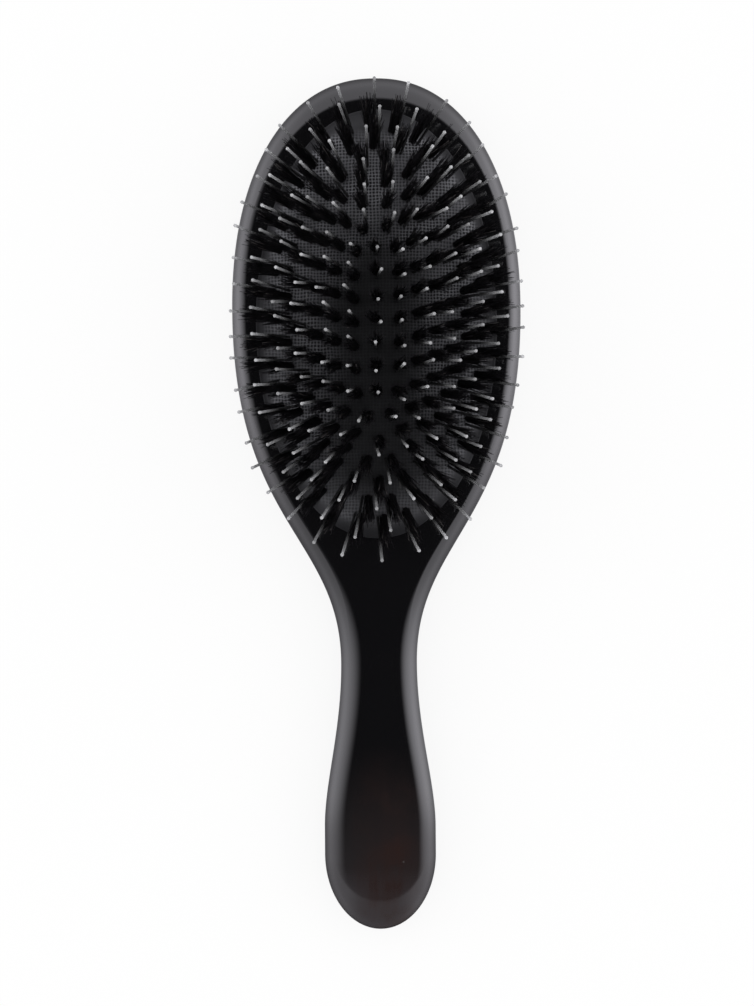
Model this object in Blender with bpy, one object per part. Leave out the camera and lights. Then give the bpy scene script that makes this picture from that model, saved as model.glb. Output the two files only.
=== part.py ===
# Hair grooming brush with an air cushion.
# A one-piece lacquered wooden body holds a domed rubber cushion in a routed pocket.
# The cushion carries tufts of boar bristle, each with one ball-tipped nylon pin.
# Metres, +Z up. The brush lies on its flat back with the pins up and its head towards +Y.
# The origin is under the middle of the brush, on the surface it lies on.

import math

import bmesh
import bpy
import numpy as np
from mathutils import Vector

# Overrun of a cutter past the face it opens, and the gap between pieces that touch
OVERRUN = 0.002
GAP = 0.0003

# Wooden body, seen from above: head, waist, grip and rounded end
BODY_LENGTH = 0.240
BODY_THICKNESS = 0.0155
HEAD_HALF_WIDTH = 0.0407
HEAD_CROWN_LENGTH = 0.0654
HEAD_SQUARENESS = 2.2
NECK_HALF_WIDTH = 0.0107
NECK_TO_END = 0.0751
GRIP_HALF_WIDTH = 0.01565
GRIP_SWELL_LENGTH = 0.0462
END_LENGTH = 0.0212
# How far the two ends of each side curve run straight, as shares of the curve's length
FLANK_TANGENT_SHARES = (0.609, 0.357)
GRIP_TANGENT_SHARES = (0.409, 0.274)

# Rolled edge of the body: its width in from the outline, and the upright land left at mid height
HEAD_SIDE_ROLL = 0.0047
HEAD_TOP_ROLL = 0.0079
HANDLE_ROLL = 0.0073
END_ROLL = 0.0130
EDGE_LAND = 0.0010
# The flat face ends squarer than the outline does
FLAT_END_SQUARENESS = 3.0
ROUND_SQUARENESS = 2.0

# Pocket for the cushion, with the groove that its bead snaps into
POCKET_DEPTH = 0.0065
GROOVE_DROP = 0.0018
GROOVE_HEIGHT = 0.0020
GROOVE_REACH = 0.0012

# Rubber cushion, seen from above, and its dome
CUSHION_HALF_WIDTH = 0.0330
CUSHION_HALF_LENGTH = 0.0593
CUSHION_TO_HEAD_END = 0.0104
CUSHION_SHOULDER = 0.0012
CUSHION_CROWN = 0.0118
CUSHION_FULLNESS = 2.2
RUBBER_THICKNESS = 0.0022
RIM_BULGE = 0.0006
EDGE_SQUARENESS = 2.05
MIDDLE_EXTRA_SQUARENESS = 2.0
MIDDLE_EXTRA_POWER = 3

# Tufts stand on a middle line and on ovals round it, which lie closer together towards the edge
OVAL_ROWS = 6
MIDDLE_ROW_HALF_LENGTH = 0.0195
OUTER_ROW_WIDTH_SHARE = 0.87
ROW_SPREAD_POWER = 0.9
OUTER_SLICE_MARGIN = 0.0019
TUFT_PITCH = 0.0064
PRESS_TRAVEL = 0.0045

# Nylon pin with a ball tip
PIN_LENGTH = 0.0220
PIN_DIAMETER = 0.0011
BALL_DIAMETER = 0.0015
BALL_LENGTH = 0.0016
PIN_SIDES = 3

# Tuft of boar bristle beside its pin
BOAR_LENGTH = 0.0150
BOAR_FOOT_WIDTH = 0.0020
BOAR_TIP_WIDTH = 0.0030
BOAR_SIDES = 3
PIN_TO_BOAR = 0.0021
ROOT_DEPTH = 0.0012

# Breather hole of the cushion, in the outer row beside the centre line
VENT_DIAMETER = 0.0014
VENT_ASIDE = 0.0022
VENT_SIDES = 8

# Points along each form
CROWN_POINTS = 11
FLANK_POINTS = 13
GRIP_POINTS = 6
END_POINTS = 8
ROLL_STEPS = 5
CUSHION_POINTS = 30
SMOOTH_ANGLE = math.radians(35)

# Fine points for measuring along an oval, and the small step that gives a direction on the dome
MEASURE_POINTS = 2001
SURFACE_STEP_SHARE = 0.001

# Sizes that follow from the ones above
FACE_Z = BODY_THICKNESS
HEAD_END_Y = BODY_LENGTH / 2
CUSHION_CENTRE_Y = HEAD_END_Y - CUSHION_TO_HEAD_END - CUSHION_HALF_LENGTH
OUTER_SLICE_SHARE = OUTER_ROW_WIDTH_SHARE + OUTER_SLICE_MARGIN / CUSHION_HALF_WIDTH


def remove_everything():
    """Empties the scene of its objects."""
    for item in list(bpy.data.objects):
        bpy.data.objects.remove(item, do_unlink=True)


def make_material(name, colour, roughness, coat=0.0):
    """One Principled surface. The coat is the lacquer on the wood."""
    material = bpy.data.materials.new(name)
    material.use_nodes = True
    surface = material.node_tree.nodes["Principled BSDF"]
    surface.inputs["Base Color"].default_value = (*colour, 1)
    surface.inputs["Roughness"].default_value = roughness
    surface.inputs["Metallic"].default_value = 0
    surface.inputs["Coat Weight"].default_value = coat
    return material


def add_object(name, bm, materials, parent=None):
    """Turns a bmesh into a smooth-shaded object with its own materials."""
    bmesh.ops.recalc_face_normals(bm, faces=bm.faces)
    mesh = bpy.data.meshes.new(name)
    bm.to_mesh(mesh)
    bm.free()
    for material in materials:
        mesh.materials.append(material)
    mesh.shade_smooth()
    mesh.set_sharp_from_angle(angle=SMOOTH_ANGLE)
    item = bpy.data.objects.new(name, mesh)
    item.parent = parent
    bpy.context.scene.collection.objects.link(item)
    return item


def hide_tool(item):
    """Marks an object as a cutter or a feeder of a Boolean, which is no piece of the brush."""
    item.hide_render = True
    item.display_type = "WIRE"


def add_boolean(item, tool, operation):
    """Joins a tool to a piece, or cuts it out, and keeps the tool's own material on its faces."""
    modifier = item.modifiers.new(tool.name, "BOOLEAN")
    modifier.operation = operation
    modifier.solver = "EXACT"
    modifier.object = tool
    modifier.material_mode = "TRANSFER"
    hide_tool(tool)


def loft(bm, rings, capped):
    """Walls from ring to ring. Capped, it is a solid stack; otherwise the last ring joins the first."""
    loops = [[bm.verts.new(point) for point in ring] for ring in rings]
    pairs = list(zip(loops, loops[1:]))
    if not capped:
        pairs.append((loops[-1], loops[0]))
    for lower, upper in pairs:
        for i in range(len(lower)):
            j = (i + 1) % len(lower)
            bm.faces.new((lower[i], lower[j], upper[j], upper[i]))
    if capped:
        bm.faces.new(list(reversed(loops[0])))
        bm.faces.new(loops[-1])


def signed_power(values, power):
    """A power that keeps the sign, which rounds or squares a circle's sine and cosine."""
    return np.sign(values) * np.abs(values) ** power


def bezier(start, start_tangent, end_tangent, end, steps):
    """Points of one cubic curve, without its last point."""
    t = (np.arange(steps) / steps)[:, None]
    return ((1 - t) ** 3 * start + 3 * (1 - t) ** 2 * t * start_tangent
            + 3 * (1 - t) * t ** 2 * end_tangent + t ** 3 * end)


def side_curve(start, end, tangent_shares, steps):
    """A side of the body between two widths, which leaves and arrives parallel to the handle."""
    start, end = np.array(start), np.array(end)
    reach = np.array((0.0, end[1] - start[1]))
    return bezier(start, start + reach * tangent_shares[0], end - reach * tangent_shares[1], end, steps)


def body_outline(inset):
    """The body from above, clockwise from the head's tip. Inset 0 is the outline, 1 the flat face's edge."""
    head = HEAD_HALF_WIDTH - inset * HEAD_SIDE_ROLL
    crown = HEAD_CROWN_LENGTH - inset * HEAD_TOP_ROLL
    neck = NECK_HALF_WIDTH - inset * HANDLE_ROLL
    grip = GRIP_HALF_WIDTH - inset * HANDLE_ROLL
    end = END_LENGTH - inset * END_ROLL
    widest_y = HEAD_END_Y - HEAD_CROWN_LENGTH
    neck_y = NECK_TO_END - BODY_LENGTH / 2
    grip_y = neck_y - GRIP_SWELL_LENGTH
    end_y = END_LENGTH - BODY_LENGTH / 2
    turn = np.linspace(0, math.pi / 2, CROWN_POINTS, endpoint=False)
    top = np.stack((head * signed_power(np.sin(turn), 2 / HEAD_SQUARENESS),
                    widest_y + crown * signed_power(np.cos(turn), 2 / HEAD_SQUARENESS)), axis=1)
    flank = side_curve((head, widest_y), (neck, neck_y), FLANK_TANGENT_SHARES, FLANK_POINTS)
    swell = side_curve((neck, neck_y), (grip, grip_y), GRIP_TANGENT_SHARES, GRIP_POINTS)
    squareness = ROUND_SQUARENESS + inset * (FLAT_END_SQUARENESS - ROUND_SQUARENESS)
    turn = np.linspace(0, math.pi / 2, END_POINTS)
    foot = np.stack((grip * signed_power(np.cos(turn), 2 / squareness),
                     end_y - end * signed_power(np.sin(turn), 2 / squareness)), axis=1)
    foot[-1, 0] = 0
    right = np.concatenate((top, flank, swell, np.array([(grip, grip_y)]), foot))
    left = right[-2:0:-1] * (-1, 1)
    return np.concatenate((right, left))


def with_height(plan, z):
    """Plan points lifted to one height, or each to its own."""
    return np.column_stack((plan, np.broadcast_to(z, len(plan))))


def row_plan(share, turns):
    """An oval of the cushion. Share 0 is the middle line and 1 is the cushion's edge."""
    extra = MIDDLE_EXTRA_SQUARENESS * (1 - min(share, 1)) ** MIDDLE_EXTRA_POWER
    power = 2 / (EDGE_SQUARENESS + extra)
    half_length = MIDDLE_ROW_HALF_LENGTH + share * (CUSHION_HALF_LENGTH - MIDDLE_ROW_HALF_LENGTH)
    return np.stack((share * CUSHION_HALF_WIDTH * signed_power(np.cos(turns), power),
                     half_length * signed_power(np.sin(turns), power)), axis=-1)


def row_share(row):
    """Size of a row's oval as a share of the cushion's edge. Half rows are the cut lines between slices."""
    return OUTER_ROW_WIDTH_SHARE * (row / OVAL_ROWS) ** ROW_SPREAD_POWER


def dome_height(share):
    """Height of the rubber's outside above the wood's face, on one oval."""
    return CUSHION_SHOULDER + CUSHION_CROWN * (1 - share ** CUSHION_FULLNESS)


def even_turns(plan_of_turns, count, start_length=0.0):
    """Angles whose points lie at even distances round an oval, from its lower end."""
    fine = np.linspace(-math.pi / 2, 3 * math.pi / 2, MEASURE_POINTS)
    points = plan_of_turns(fine)
    run = np.concatenate(([0.0], np.cumsum(np.linalg.norm(np.diff(points, axis=0), axis=1))))
    wanted = (start_length + run[-1] * np.arange(count) / count) % run[-1]
    return np.interp(wanted, run, fine)


def oval_length(share):
    """Distance once round one oval."""
    points = row_plan(share, np.linspace(0, 2 * math.pi, MEASURE_POINTS))
    return np.linalg.norm(np.diff(points, axis=0), axis=1).sum()


def edge_ring(inset, z):
    """An oval at a set distance in from the cushion's edge, negative for outside it."""
    turns = even_turns(lambda a: row_plan(1.0, a), CUSHION_POINTS)
    plan = row_plan(1.0, turns)
    across = CUSHION_HALF_WIDTH
    along = CUSHION_HALF_LENGTH
    return with_height(plan * ((across - inset) / across, (along - inset) / along), z)


def slice_ring(share, shift, z):
    """A cut line between two rows, moved outwards by shift so that neighbours keep their gap."""
    plan = row_plan(share, even_turns(lambda a: row_plan(1.0, a), CUSHION_POINTS))
    half_width = share * CUSHION_HALF_WIDTH
    half_length = MIDDLE_ROW_HALF_LENGTH + share * (CUSHION_HALF_LENGTH - MIDDLE_ROW_HALF_LENGTH)
    return with_height(plan * ((half_width + shift) / half_width, (half_length + shift) / half_length), z)


def make_body(lacquer):
    """The wooden body: one outline drawn at rising levels, with rolled edges front and back."""
    bm = bmesh.new()
    roll_height = (BODY_THICKNESS - EDGE_LAND) / 2
    rise = np.linspace(math.pi / 2, 0, ROLL_STEPS + 1)
    lower = [(1 - math.cos(a), roll_height * (1 - math.sin(a))) for a in rise]
    upper = [(inset, BODY_THICKNESS - z) for inset, z in reversed(lower)]
    loft(bm, [with_height(body_outline(inset), z) for inset, z in lower + upper], capped=True)
    return add_object("wood_body", bm, [lacquer])


def make_pocket_cutter(parent, lacquer):
    """The pocket's inside, with the groove for the bead. Heights are from the wood's face."""
    groove_top = -GROOVE_DROP
    groove_floor = groove_top - GROOVE_HEIGHT
    steps = [(-GAP, OVERRUN), (-GAP, groove_top), (-GROOVE_REACH - GAP, groove_top),
             (-GROOVE_REACH - GAP, groove_floor), (-GAP, groove_floor), (-GAP, -POCKET_DEPTH)]
    bm = bmesh.new()
    loft(bm, [edge_ring(inset, z) for inset, z in reversed(steps)], capped=True)
    return add_object("pocket_cutter", bm, [lacquer], parent)


def make_rim(parent, rubber):
    """The cushion's still edge: a bead in the groove, a drawn-in neck, a bulge and the dome's foot."""
    inner = OUTER_SLICE_SHARE
    crest = (1 + inner) / 2
    bead_top = -GROOVE_DROP - GAP
    bead_floor = -GROOVE_DROP - GROOVE_HEIGHT + GAP
    bead_reach = GROOVE_REACH - GAP
    wall = RUBBER_THICKNESS
    neck = GAP / 2
    half_bead = (bead_top + bead_floor) / 2
    outside = [(CUSHION_HALF_WIDTH * (1 - crest), dome_height(crest)),
               (0.0, CUSHION_SHOULDER),
               (-RIM_BULGE, CUSHION_SHOULDER / 2),
               (neck, GAP),
               (neck, bead_top),
               (-bead_reach, (bead_top + half_bead) / 2),
               (-bead_reach, (bead_floor + half_bead) / 2),
               (neck, bead_floor),
               (wall, bead_floor),
               (wall, -GAP)]
    rings = [slice_ring(inner, GAP / 2, dome_height(inner) - wall),
             slice_ring(inner, GAP / 2, dome_height(inner))]
    rings += [edge_ring(inset, z) for inset, z in outside]
    bm = bmesh.new()
    loft(bm, rings, capped=False)
    return add_object("cushion_rim", bm, [rubber], parent)


def tuft_frames(row):
    """Foot, outward normal and direction along the row, for each tuft of a row."""
    share = row_share(row)
    if row == 0:
        count = 1 + round(2 * MIDDLE_ROW_HALF_LENGTH / TUFT_PITCH)
        places = np.linspace(-MIDDLE_ROW_HALF_LENGTH, MIDDLE_ROW_HALF_LENGTH, count)
        return [(Vector((0, y, dome_height(0))), Vector((0, 0, 1)), Vector((0, 1, 0))) for y in places]
    count = round(oval_length(share) / TUFT_PITCH)
    pitch = oval_length(share) / count
    start = pitch / 2 - VENT_ASIDE if row == OVAL_ROWS else pitch / 2 * (row % 2)
    turns = even_turns(lambda a: row_plan(share, a), count, start)
    step = SURFACE_STEP_SHARE

    def surface(s, a):
        plan = row_plan(s, a)
        return np.column_stack((plan, np.full(len(plan), dome_height(s))))

    feet = surface(share, turns)
    along = surface(share, turns + step) - surface(share, turns - step)
    outward = surface(share + step, turns) - surface(share - step, turns)
    frames = []
    for foot, run, out in zip(feet, along, outward):
        run = Vector(run).normalized()
        frames.append((Vector(foot), Vector(out).cross(run).normalized(), run))
    return frames


def add_strand(bm, foot, up, run, stations, sides, slot):
    """A faceted strand. Each station is a height and a radius, and radius 0 is a point."""
    across = up.cross(run)
    rings = []
    for height, radius in stations:
        centre = foot + up * height
        count = sides if radius else 1
        turns = [2 * math.pi * i / sides for i in range(count)]
        rings.append([bm.verts.new(centre + radius * (math.cos(a) * run + math.sin(a) * across))
                      for a in turns])
    faces = [bm.faces.new(list(reversed(rings[0])))]
    for lower, upper in zip(rings, rings[1:]):
        for i in range(sides):
            j = (i + 1) % sides
            corners = (lower[i], lower[j], upper[0]) if len(upper) == 1 else (
                lower[i], lower[j], upper[j], upper[i])
            faces.append(bm.faces.new(corners))
    if len(rings[-1]) > 1:
        faces.append(bm.faces.new(rings[-1]))
    for face in faces:
        face.material_index = slot


def make_strands(row, parent, nylon, boar):
    """The pins and the boar tufts of one row, rooted in the rubber."""
    pin = [(-ROOT_DEPTH, PIN_DIAMETER / 2),
           (PIN_LENGTH - BALL_LENGTH, PIN_DIAMETER / 2),
           (PIN_LENGTH - BALL_LENGTH / 2, BALL_DIAMETER / 2),
           (PIN_LENGTH, 0)]
    tuft = [(-ROOT_DEPTH, BOAR_FOOT_WIDTH / 2), (BOAR_LENGTH, BOAR_TIP_WIDTH / 2)]
    bm = bmesh.new()
    for foot, up, run in tuft_frames(row):
        add_strand(bm, foot - run * PIN_TO_BOAR / 2, up, run, pin, PIN_SIDES, 0)
        add_strand(bm, foot + run * PIN_TO_BOAR / 2, up, run, tuft, BOAR_SIDES, 1)
    return add_object(f"strands_{row}", bm, [nylon, boar], parent)


def make_row(row, parent, rubber, nylon, boar):
    """One slice of the cushion with the tufts that stand on it."""
    outer = row_share(row + 0.5) if row < OVAL_ROWS else OUTER_SLICE_SHARE
    outer_top = dome_height(outer)
    bm = bmesh.new()
    if row == 0:
        levels = (outer_top - RUBBER_THICKNESS, outer_top)
        loft(bm, [slice_ring(outer, -GAP / 2, z) for z in levels], capped=True)
    else:
        inner = row_share(row - 0.5)
        inner_top = dome_height(inner)
        loft(bm, [slice_ring(inner, GAP / 2, inner_top - RUBBER_THICKNESS),
                  slice_ring(outer, -GAP / 2, outer_top - RUBBER_THICKNESS),
                  slice_ring(outer, -GAP / 2, outer_top),
                  slice_ring(inner, GAP / 2, inner_top)], capped=False)
    item = add_object(f"tuft_row_{row}", bm, [rubber, nylon, boar], parent)
    add_boolean(item, make_strands(row, parent, nylon, boar), "UNION")
    return item


def make_vent_cutter(parent, rubber):
    """The breather hole through the outer slice, beside the centre line near the handle."""
    lower_end = MIDDLE_ROW_HALF_LENGTH + OUTER_ROW_WIDTH_SHARE * (CUSHION_HALF_LENGTH - MIDDLE_ROW_HALF_LENGTH)
    turns = np.linspace(0, 2 * math.pi, VENT_SIDES, endpoint=False)
    circle = np.stack((np.cos(turns), np.sin(turns)), axis=1) * VENT_DIAMETER / 2
    plan = circle + (-VENT_ASIDE, -lower_end)
    bm = bmesh.new()
    loft(bm, [with_height(plan, -RUBBER_THICKNESS), with_height(plan, CUSHION_CROWN)], capped=True)
    return add_object("vent_cutter", bm, [rubber], parent)


def main():
    remove_everything()
    lacquer = make_material("black_lacquered_wood", (0.012, 0.009, 0.009), 0.18, coat=1.0)
    rubber = make_material("black_rubber", (0.022, 0.022, 0.025), 0.62)
    nylon = make_material("clear_grey_nylon", (0.42, 0.42, 0.44), 0.25)
    boar = make_material("black_boar_bristle", (0.008, 0.008, 0.009), 0.55)

    # The cushion's parts and the slide of every row are measured from the middle of its mouth
    mouth = bpy.data.objects.new("cushion_mouth", None)
    mouth.location = (0, CUSHION_CENTRE_Y, FACE_Z)
    bpy.context.scene.collection.objects.link(mouth)

    body = make_body(lacquer)
    add_boolean(body, make_pocket_cutter(mouth, lacquer), "DIFFERENCE")
    make_rim(mouth, rubber)
    rows = [make_row(row, mouth, rubber, nylon, boar) for row in range(OVAL_ROWS + 1)]
    add_boolean(rows[-1], make_vent_cutter(mouth, rubber), "DIFFERENCE")

    for row in range(OVAL_ROWS + 1):
        ratio = 1 - row_share(row) ** CUSHION_FULLNESS
        print(f"row {row}: {len(tuft_frames(row))} tufts, sinks {ratio * PRESS_TRAVEL * 1000:.2f} mm, share {ratio:.4f}")


main()
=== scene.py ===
# %% [markdown]
# # Dressing a hair brush with an air cushion
#
# The brush lies on its back: a black lacquered wooden body, a domed rubber cushion in its face, and rows
# of boar tufts, each with one clear nylon pin that ends in a ball. The imported model already gives the
# solids, their size and the way that they move, but they are plain. This lesson dresses them with finer
# surfaces and real finishes, in the same place and at the same size.

# %% Load the imported brush
import math

import bmesh
import bpy
import numpy as np
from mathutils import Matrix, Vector
from mathutils.geometry import tessellate_polygon


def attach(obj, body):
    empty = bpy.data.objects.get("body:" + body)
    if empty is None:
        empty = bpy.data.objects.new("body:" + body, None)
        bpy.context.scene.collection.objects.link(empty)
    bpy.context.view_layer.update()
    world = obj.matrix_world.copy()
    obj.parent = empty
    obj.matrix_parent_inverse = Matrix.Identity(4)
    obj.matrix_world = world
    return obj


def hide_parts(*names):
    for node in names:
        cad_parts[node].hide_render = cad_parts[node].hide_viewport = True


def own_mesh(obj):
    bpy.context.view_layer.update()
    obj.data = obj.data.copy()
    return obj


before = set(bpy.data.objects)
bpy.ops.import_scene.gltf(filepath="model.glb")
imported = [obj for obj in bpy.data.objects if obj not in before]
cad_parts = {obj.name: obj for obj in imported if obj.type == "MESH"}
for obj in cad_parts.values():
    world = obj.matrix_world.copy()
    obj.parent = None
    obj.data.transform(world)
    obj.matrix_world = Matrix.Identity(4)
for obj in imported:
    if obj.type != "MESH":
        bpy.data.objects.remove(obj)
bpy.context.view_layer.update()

print("solids of the brush:", ", ".join(sorted(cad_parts)))

# %% [markdown]
# ## Camera
#
# A product picture of a brush is taken from straight above, from about a metre, with a long lens, so
# that the brush keeps its proportions. One could pick a lens and move the camera until the picture looks
# right. Here the height is given, and the lens is worked out from how much of the floor the picture
# covers, so that either can be changed by itself. The brush lies less than half a degree askew. The
# camera is turned by that much instead, because the model stays straight.

# %% Hang the camera over the brush
PICTURE_SIZE = (754, 1006)
CAMERA_HEIGHT = 0.908
CAMERA_ASIDE = (-0.00023, 0.00017)
SEEN_LENGTH = 0.28405
SEEN_AT_HEIGHT = 0.008
SENSOR_HEIGHT = 36.0
BRUSH_TURN = 0.436

camera_data = bpy.data.cameras.new("photo_camera")
camera_data.sensor_fit = "VERTICAL"
camera_data.sensor_height = SENSOR_HEIGHT
camera_data.sensor_width = SENSOR_HEIGHT * PICTURE_SIZE[0] / PICTURE_SIZE[1]
camera_data.lens = SENSOR_HEIGHT * (CAMERA_HEIGHT - SEEN_AT_HEIGHT) / SEEN_LENGTH
camera = bpy.data.objects.new("photo_camera", camera_data)
camera.location = (*CAMERA_ASIDE, CAMERA_HEIGHT)
camera.rotation_euler = (0, 0, -math.radians(BRUSH_TURN))
bpy.context.scene.collection.objects.link(camera)
bpy.context.scene.camera = camera
bpy.context.scene.view_settings.view_transform = "Standard"
print(f"lens {camera_data.lens:.1f} mm")

# %% [markdown]
# ## Writing node trees
#
# Finishes and light are both node trees. They can be laid out by hand in the node editor, or written
# down. In writing, one value can be used in many places and changed in one. A few small helpers keep
# that short: one adds a node with its settings and inputs in a single call, and the others do sums on
# numbers and on directions. An input may be a number, a colour or another node's output.

# %% Helpers for nodes and sums
def add_node(tree, kind, settings=None, **inputs):
    """Adds a node. Settings are its properties. Inputs go by name, with _ for a space, or as i0, i1."""
    node = tree.nodes.new(kind)
    for name, value in (settings or {}).items():
        setattr(node, name, value)
    for name, value in inputs.items():
        socket = node.inputs[int(name[1:])] if name[1:].isdigit() else node.inputs[name.replace("_", " ")]
        if isinstance(value, bpy.types.NodeSocket):
            tree.links.new(value, socket)
        else:
            socket.default_value = value
    return node


def maths(tree, operation, *values):
    """One sum on up to three numbers or outputs, and its result."""
    inputs = {f"i{place}": value for place, value in enumerate(values)}
    return add_node(tree, "ShaderNodeMath", {"operation": operation}, **inputs).outputs[0]


def vector_maths(tree, operation, *values):
    """One sum on directions or places. A length comes out as a number, all else as a vector."""
    inputs = {f"i{place}": value for place, value in enumerate(values)}
    outputs = add_node(tree, "ShaderNodeVectorMath", {"operation": operation}, **inputs).outputs
    return outputs["Value" if operation == "LENGTH" else "Vector"]


def product(tree, first, *others):
    """Numbers or outputs multiplied together."""
    for other in others:
        first = maths(tree, "MULTIPLY", first, other)
    return first


def length_of(tree, first, second):
    """Length of two numbers at right angles: the root of the sum of their squares."""
    squares = maths(tree, "MULTIPLY_ADD", first, first, maths(tree, "POWER", second, 2))
    return maths(tree, "SQRT", squares)


helpers = (add_node, maths, vector_maths, product, length_of)
print("helpers:", ", ".join(helper.__name__ for helper in helpers))

# %% [markdown]
# Most effects here fade in over some distance, and most colours are a blend of two. Blender's colour
# ramp node can do both at once, but its stops are hard to read in writing. So a fade and a blend are one
# helper each. The fade has no kinks, because a kink shows as a line on a glossy surface.

# %% Helpers for fades and blends
MIX_SHARE, MIX_FIRST, MIX_SECOND = 0, 6, 7
MIX_RESULT = 2


def ramp_between(tree, value, low, high, to_low=0.0, to_high=1.0):
    """Moves a value smoothly from one level to another as it passes from low to high."""
    settings = {"interpolation_type": "SMOOTHSTEP"}
    node = add_node(tree, "ShaderNodeMapRange", settings, Value=value, From_Min=low, From_Max=high,
                    To_Min=to_low, To_Max=to_high)
    return node.outputs["Result"]


def mix_colours(tree, share, first, second):
    """The first colour where the share is 0 and the second where it is 1."""
    node = tree.nodes.new("ShaderNodeMix")
    node.data_type = "RGBA"
    for place, value in ((MIX_SHARE, share), (MIX_FIRST, first), (MIX_SECOND, second)):
        if isinstance(value, bpy.types.NodeSocket):
            tree.links.new(value, node.inputs[place])
        else:
            node.inputs[place].default_value = value if place == MIX_SHARE else (*value[:3], 1)
    return node.outputs[MIX_RESULT]


def mix_shaders(tree, share, first, second):
    """The first light or surface where the share is 0 and the second where it is 1."""
    return add_node(tree, "ShaderNodeMixShader", i0=share, i1=first.outputs[0], i2=second.outputs[0])


print("helpers:", ", ".join(helper.__name__ for helper in (ramp_between, mix_colours, mix_shaders)))

# %% [markdown]
# ## Light
#
# Gloss black lacquer has almost no colour of its own: what one sees is the room in it. The flat face
# looks up at a dark ceiling, which makes it black, and the rolled edges look out at bright walls, which
# draws the grey bands round the brush. Such a room could be built from cards and soft lamps. Here it is
# painted on the world, as brightness by direction, because that is smooth, needs no light paths, and is
# easy to adjust.
#
# The first part is the walls. They are brightest to the sides, about half as bright towards the head,
# and dimmest towards the handle. Each direction is taken by its level part, so that Y is 1 straight
# towards the head and 0 straight to a side.

# %% Walls of the room
SIDE_WALL = 1.80
FLANK_WALL = 0.76
HANDLE_WALL = 0.29
HEAD_WALL_LOSS = 0.85
RIGHT_GAIN = 0.13
# Level directions, by their Y, between which each change happens
SIDES_BRIGHTEN = (-0.62, 0.16)
HANDLE_BRIGHTENS = (-1.0, -0.6)
HEAD_DIMS = (0.30, 1.0)

world = bpy.data.worlds.new("studio_room")
bpy.context.scene.world = world
world.use_nodes = True
room = world.node_tree
room.nodes.clear()
direction = add_node(room, "ShaderNodeTexCoord").outputs["Generated"]
compass = vector_maths(room, "NORMALIZE", vector_maths(room, "MULTIPLY", direction, (1, 1, 0)))
ahead = add_node(room, "ShaderNodeSeparateXYZ", Vector=compass).outputs
sides = ramp_between(room, ahead["Y"], *SIDES_BRIGHTEN, FLANK_WALL, SIDE_WALL)
handle_loss = ramp_between(room, ahead["Y"], *HANDLE_BRIGHTENS, FLANK_WALL - HANDLE_WALL, 0.0)
head_loss = ramp_between(room, ahead["Y"], *HEAD_DIMS, 0.0, HEAD_WALL_LOSS)
dimmed = maths(room, "SUBTRACT", maths(room, "SUBTRACT", sides, handle_loss), head_loss)
walls = product(room, dimmed, maths(room, "MULTIPLY_ADD", ahead["X"], RIGHT_GAIN, 1.0))
print("nodes for the walls:", len(room.nodes))

# %% [markdown]
# The second part is the dark panel of the ceiling. It is a rectangle, and its corners show in the
# rounded end of the handle. Its two ends are slopes: how far a direction goes lengthways for its rise.
# Its two sides are sines, which reach 1 at the horizon. The left side is softer than the right one, as
# the bands on the two sides of the handle show. Its wall would be full only past the horizon, and a
# higher gain makes up for that. Below the horizon the room darkens again, because the steep sides of the
# brush look down at its own shadow.

# %% Ceiling panel and ground
# For each edge: where the panel starts to end, where the wall is full, and for the sides its gain
PANEL_LEFT_EDGE = (0.33, 1.35, 1.375)
PANEL_RIGHT_EDGE = (0.59, 1.04, 1.0)
PANEL_HEAD_EDGE = (0.38, 0.64)
PANEL_HANDLE_EDGE = (0.49, 0.63)
PANEL_LEVEL = 0.02
LEAST_RISE = 0.05
GROUND_BRIGHTENS = (-0.95, -0.02)
GROUND_LEVEL = 0.14
GROUND_RISE_AT_HEAD = 0.15


def panel_edge(slope, sign, start, end, gain=1.0):
    """0 under the panel, and the wall's gain past its soft edge, on the side that the sign gives."""
    return ramp_between(room, maths(room, "MULTIPLY", slope, sign), start, end, 0.0, gain)


parts = add_node(room, "ShaderNodeSeparateXYZ", Vector=direction).outputs
rise = maths(room, "MAXIMUM", parts["Z"], LEAST_RISE)
to_right = maths(room, "DIVIDE", parts["X"], length_of(room, parts["X"], rise))
to_head = maths(room, "DIVIDE", parts["Y"], rise)
beside = maths(room, "MAXIMUM", panel_edge(to_right, 1, *PANEL_RIGHT_EDGE),
               panel_edge(to_right, -1, *PANEL_LEFT_EDGE))
past_ends = maths(room, "MAXIMUM", panel_edge(to_head, 1, *PANEL_HEAD_EDGE),
                  panel_edge(to_head, -1, *PANEL_HANDLE_EDGE))
on_wall = maths(room, "MAXIMUM", beside, past_ends)
headward = maths(room, "MAXIMUM", parts["Y"], 0.0)
lowered = maths(room, "MULTIPLY_ADD", headward, -GROUND_RISE_AT_HEAD, parts["Z"])
above_ground = ramp_between(room, lowered, *GROUND_BRIGHTENS, GROUND_LEVEL, 1.0)
reflected = maths(room, "MAXIMUM", PANEL_LEVEL, product(room, walls, above_ground, on_wall))
print("nodes for walls and panel:", len(room.nodes))

# %% [markdown]
# The last part decides which rays see which light. Only reflections see the room. Everything matt gets
# plain even light, so that a colour looks about as it is written. The eye, and what it sees through
# clear nylon, gets a white backdrop. One could light with the room alone, but then rubber and bristle
# would be tinted and shaded by it as well, and each change to a reflection would change them too.

# %% Which rays see the room
ROOM_TINT = (1.0, 0.985, 1.05, 1)
EVEN_LIGHT = 0.98
WHITE = (1, 1, 1, 1)


def seen_directly(tree):
    """1 for rays of the eye and rays that went through something clear, otherwise 0."""
    ray = add_node(tree, "ShaderNodeLightPath").outputs
    return maths(tree, "MAXIMUM", ray["Is Camera Ray"], ray["Is Transmission Ray"])


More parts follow.
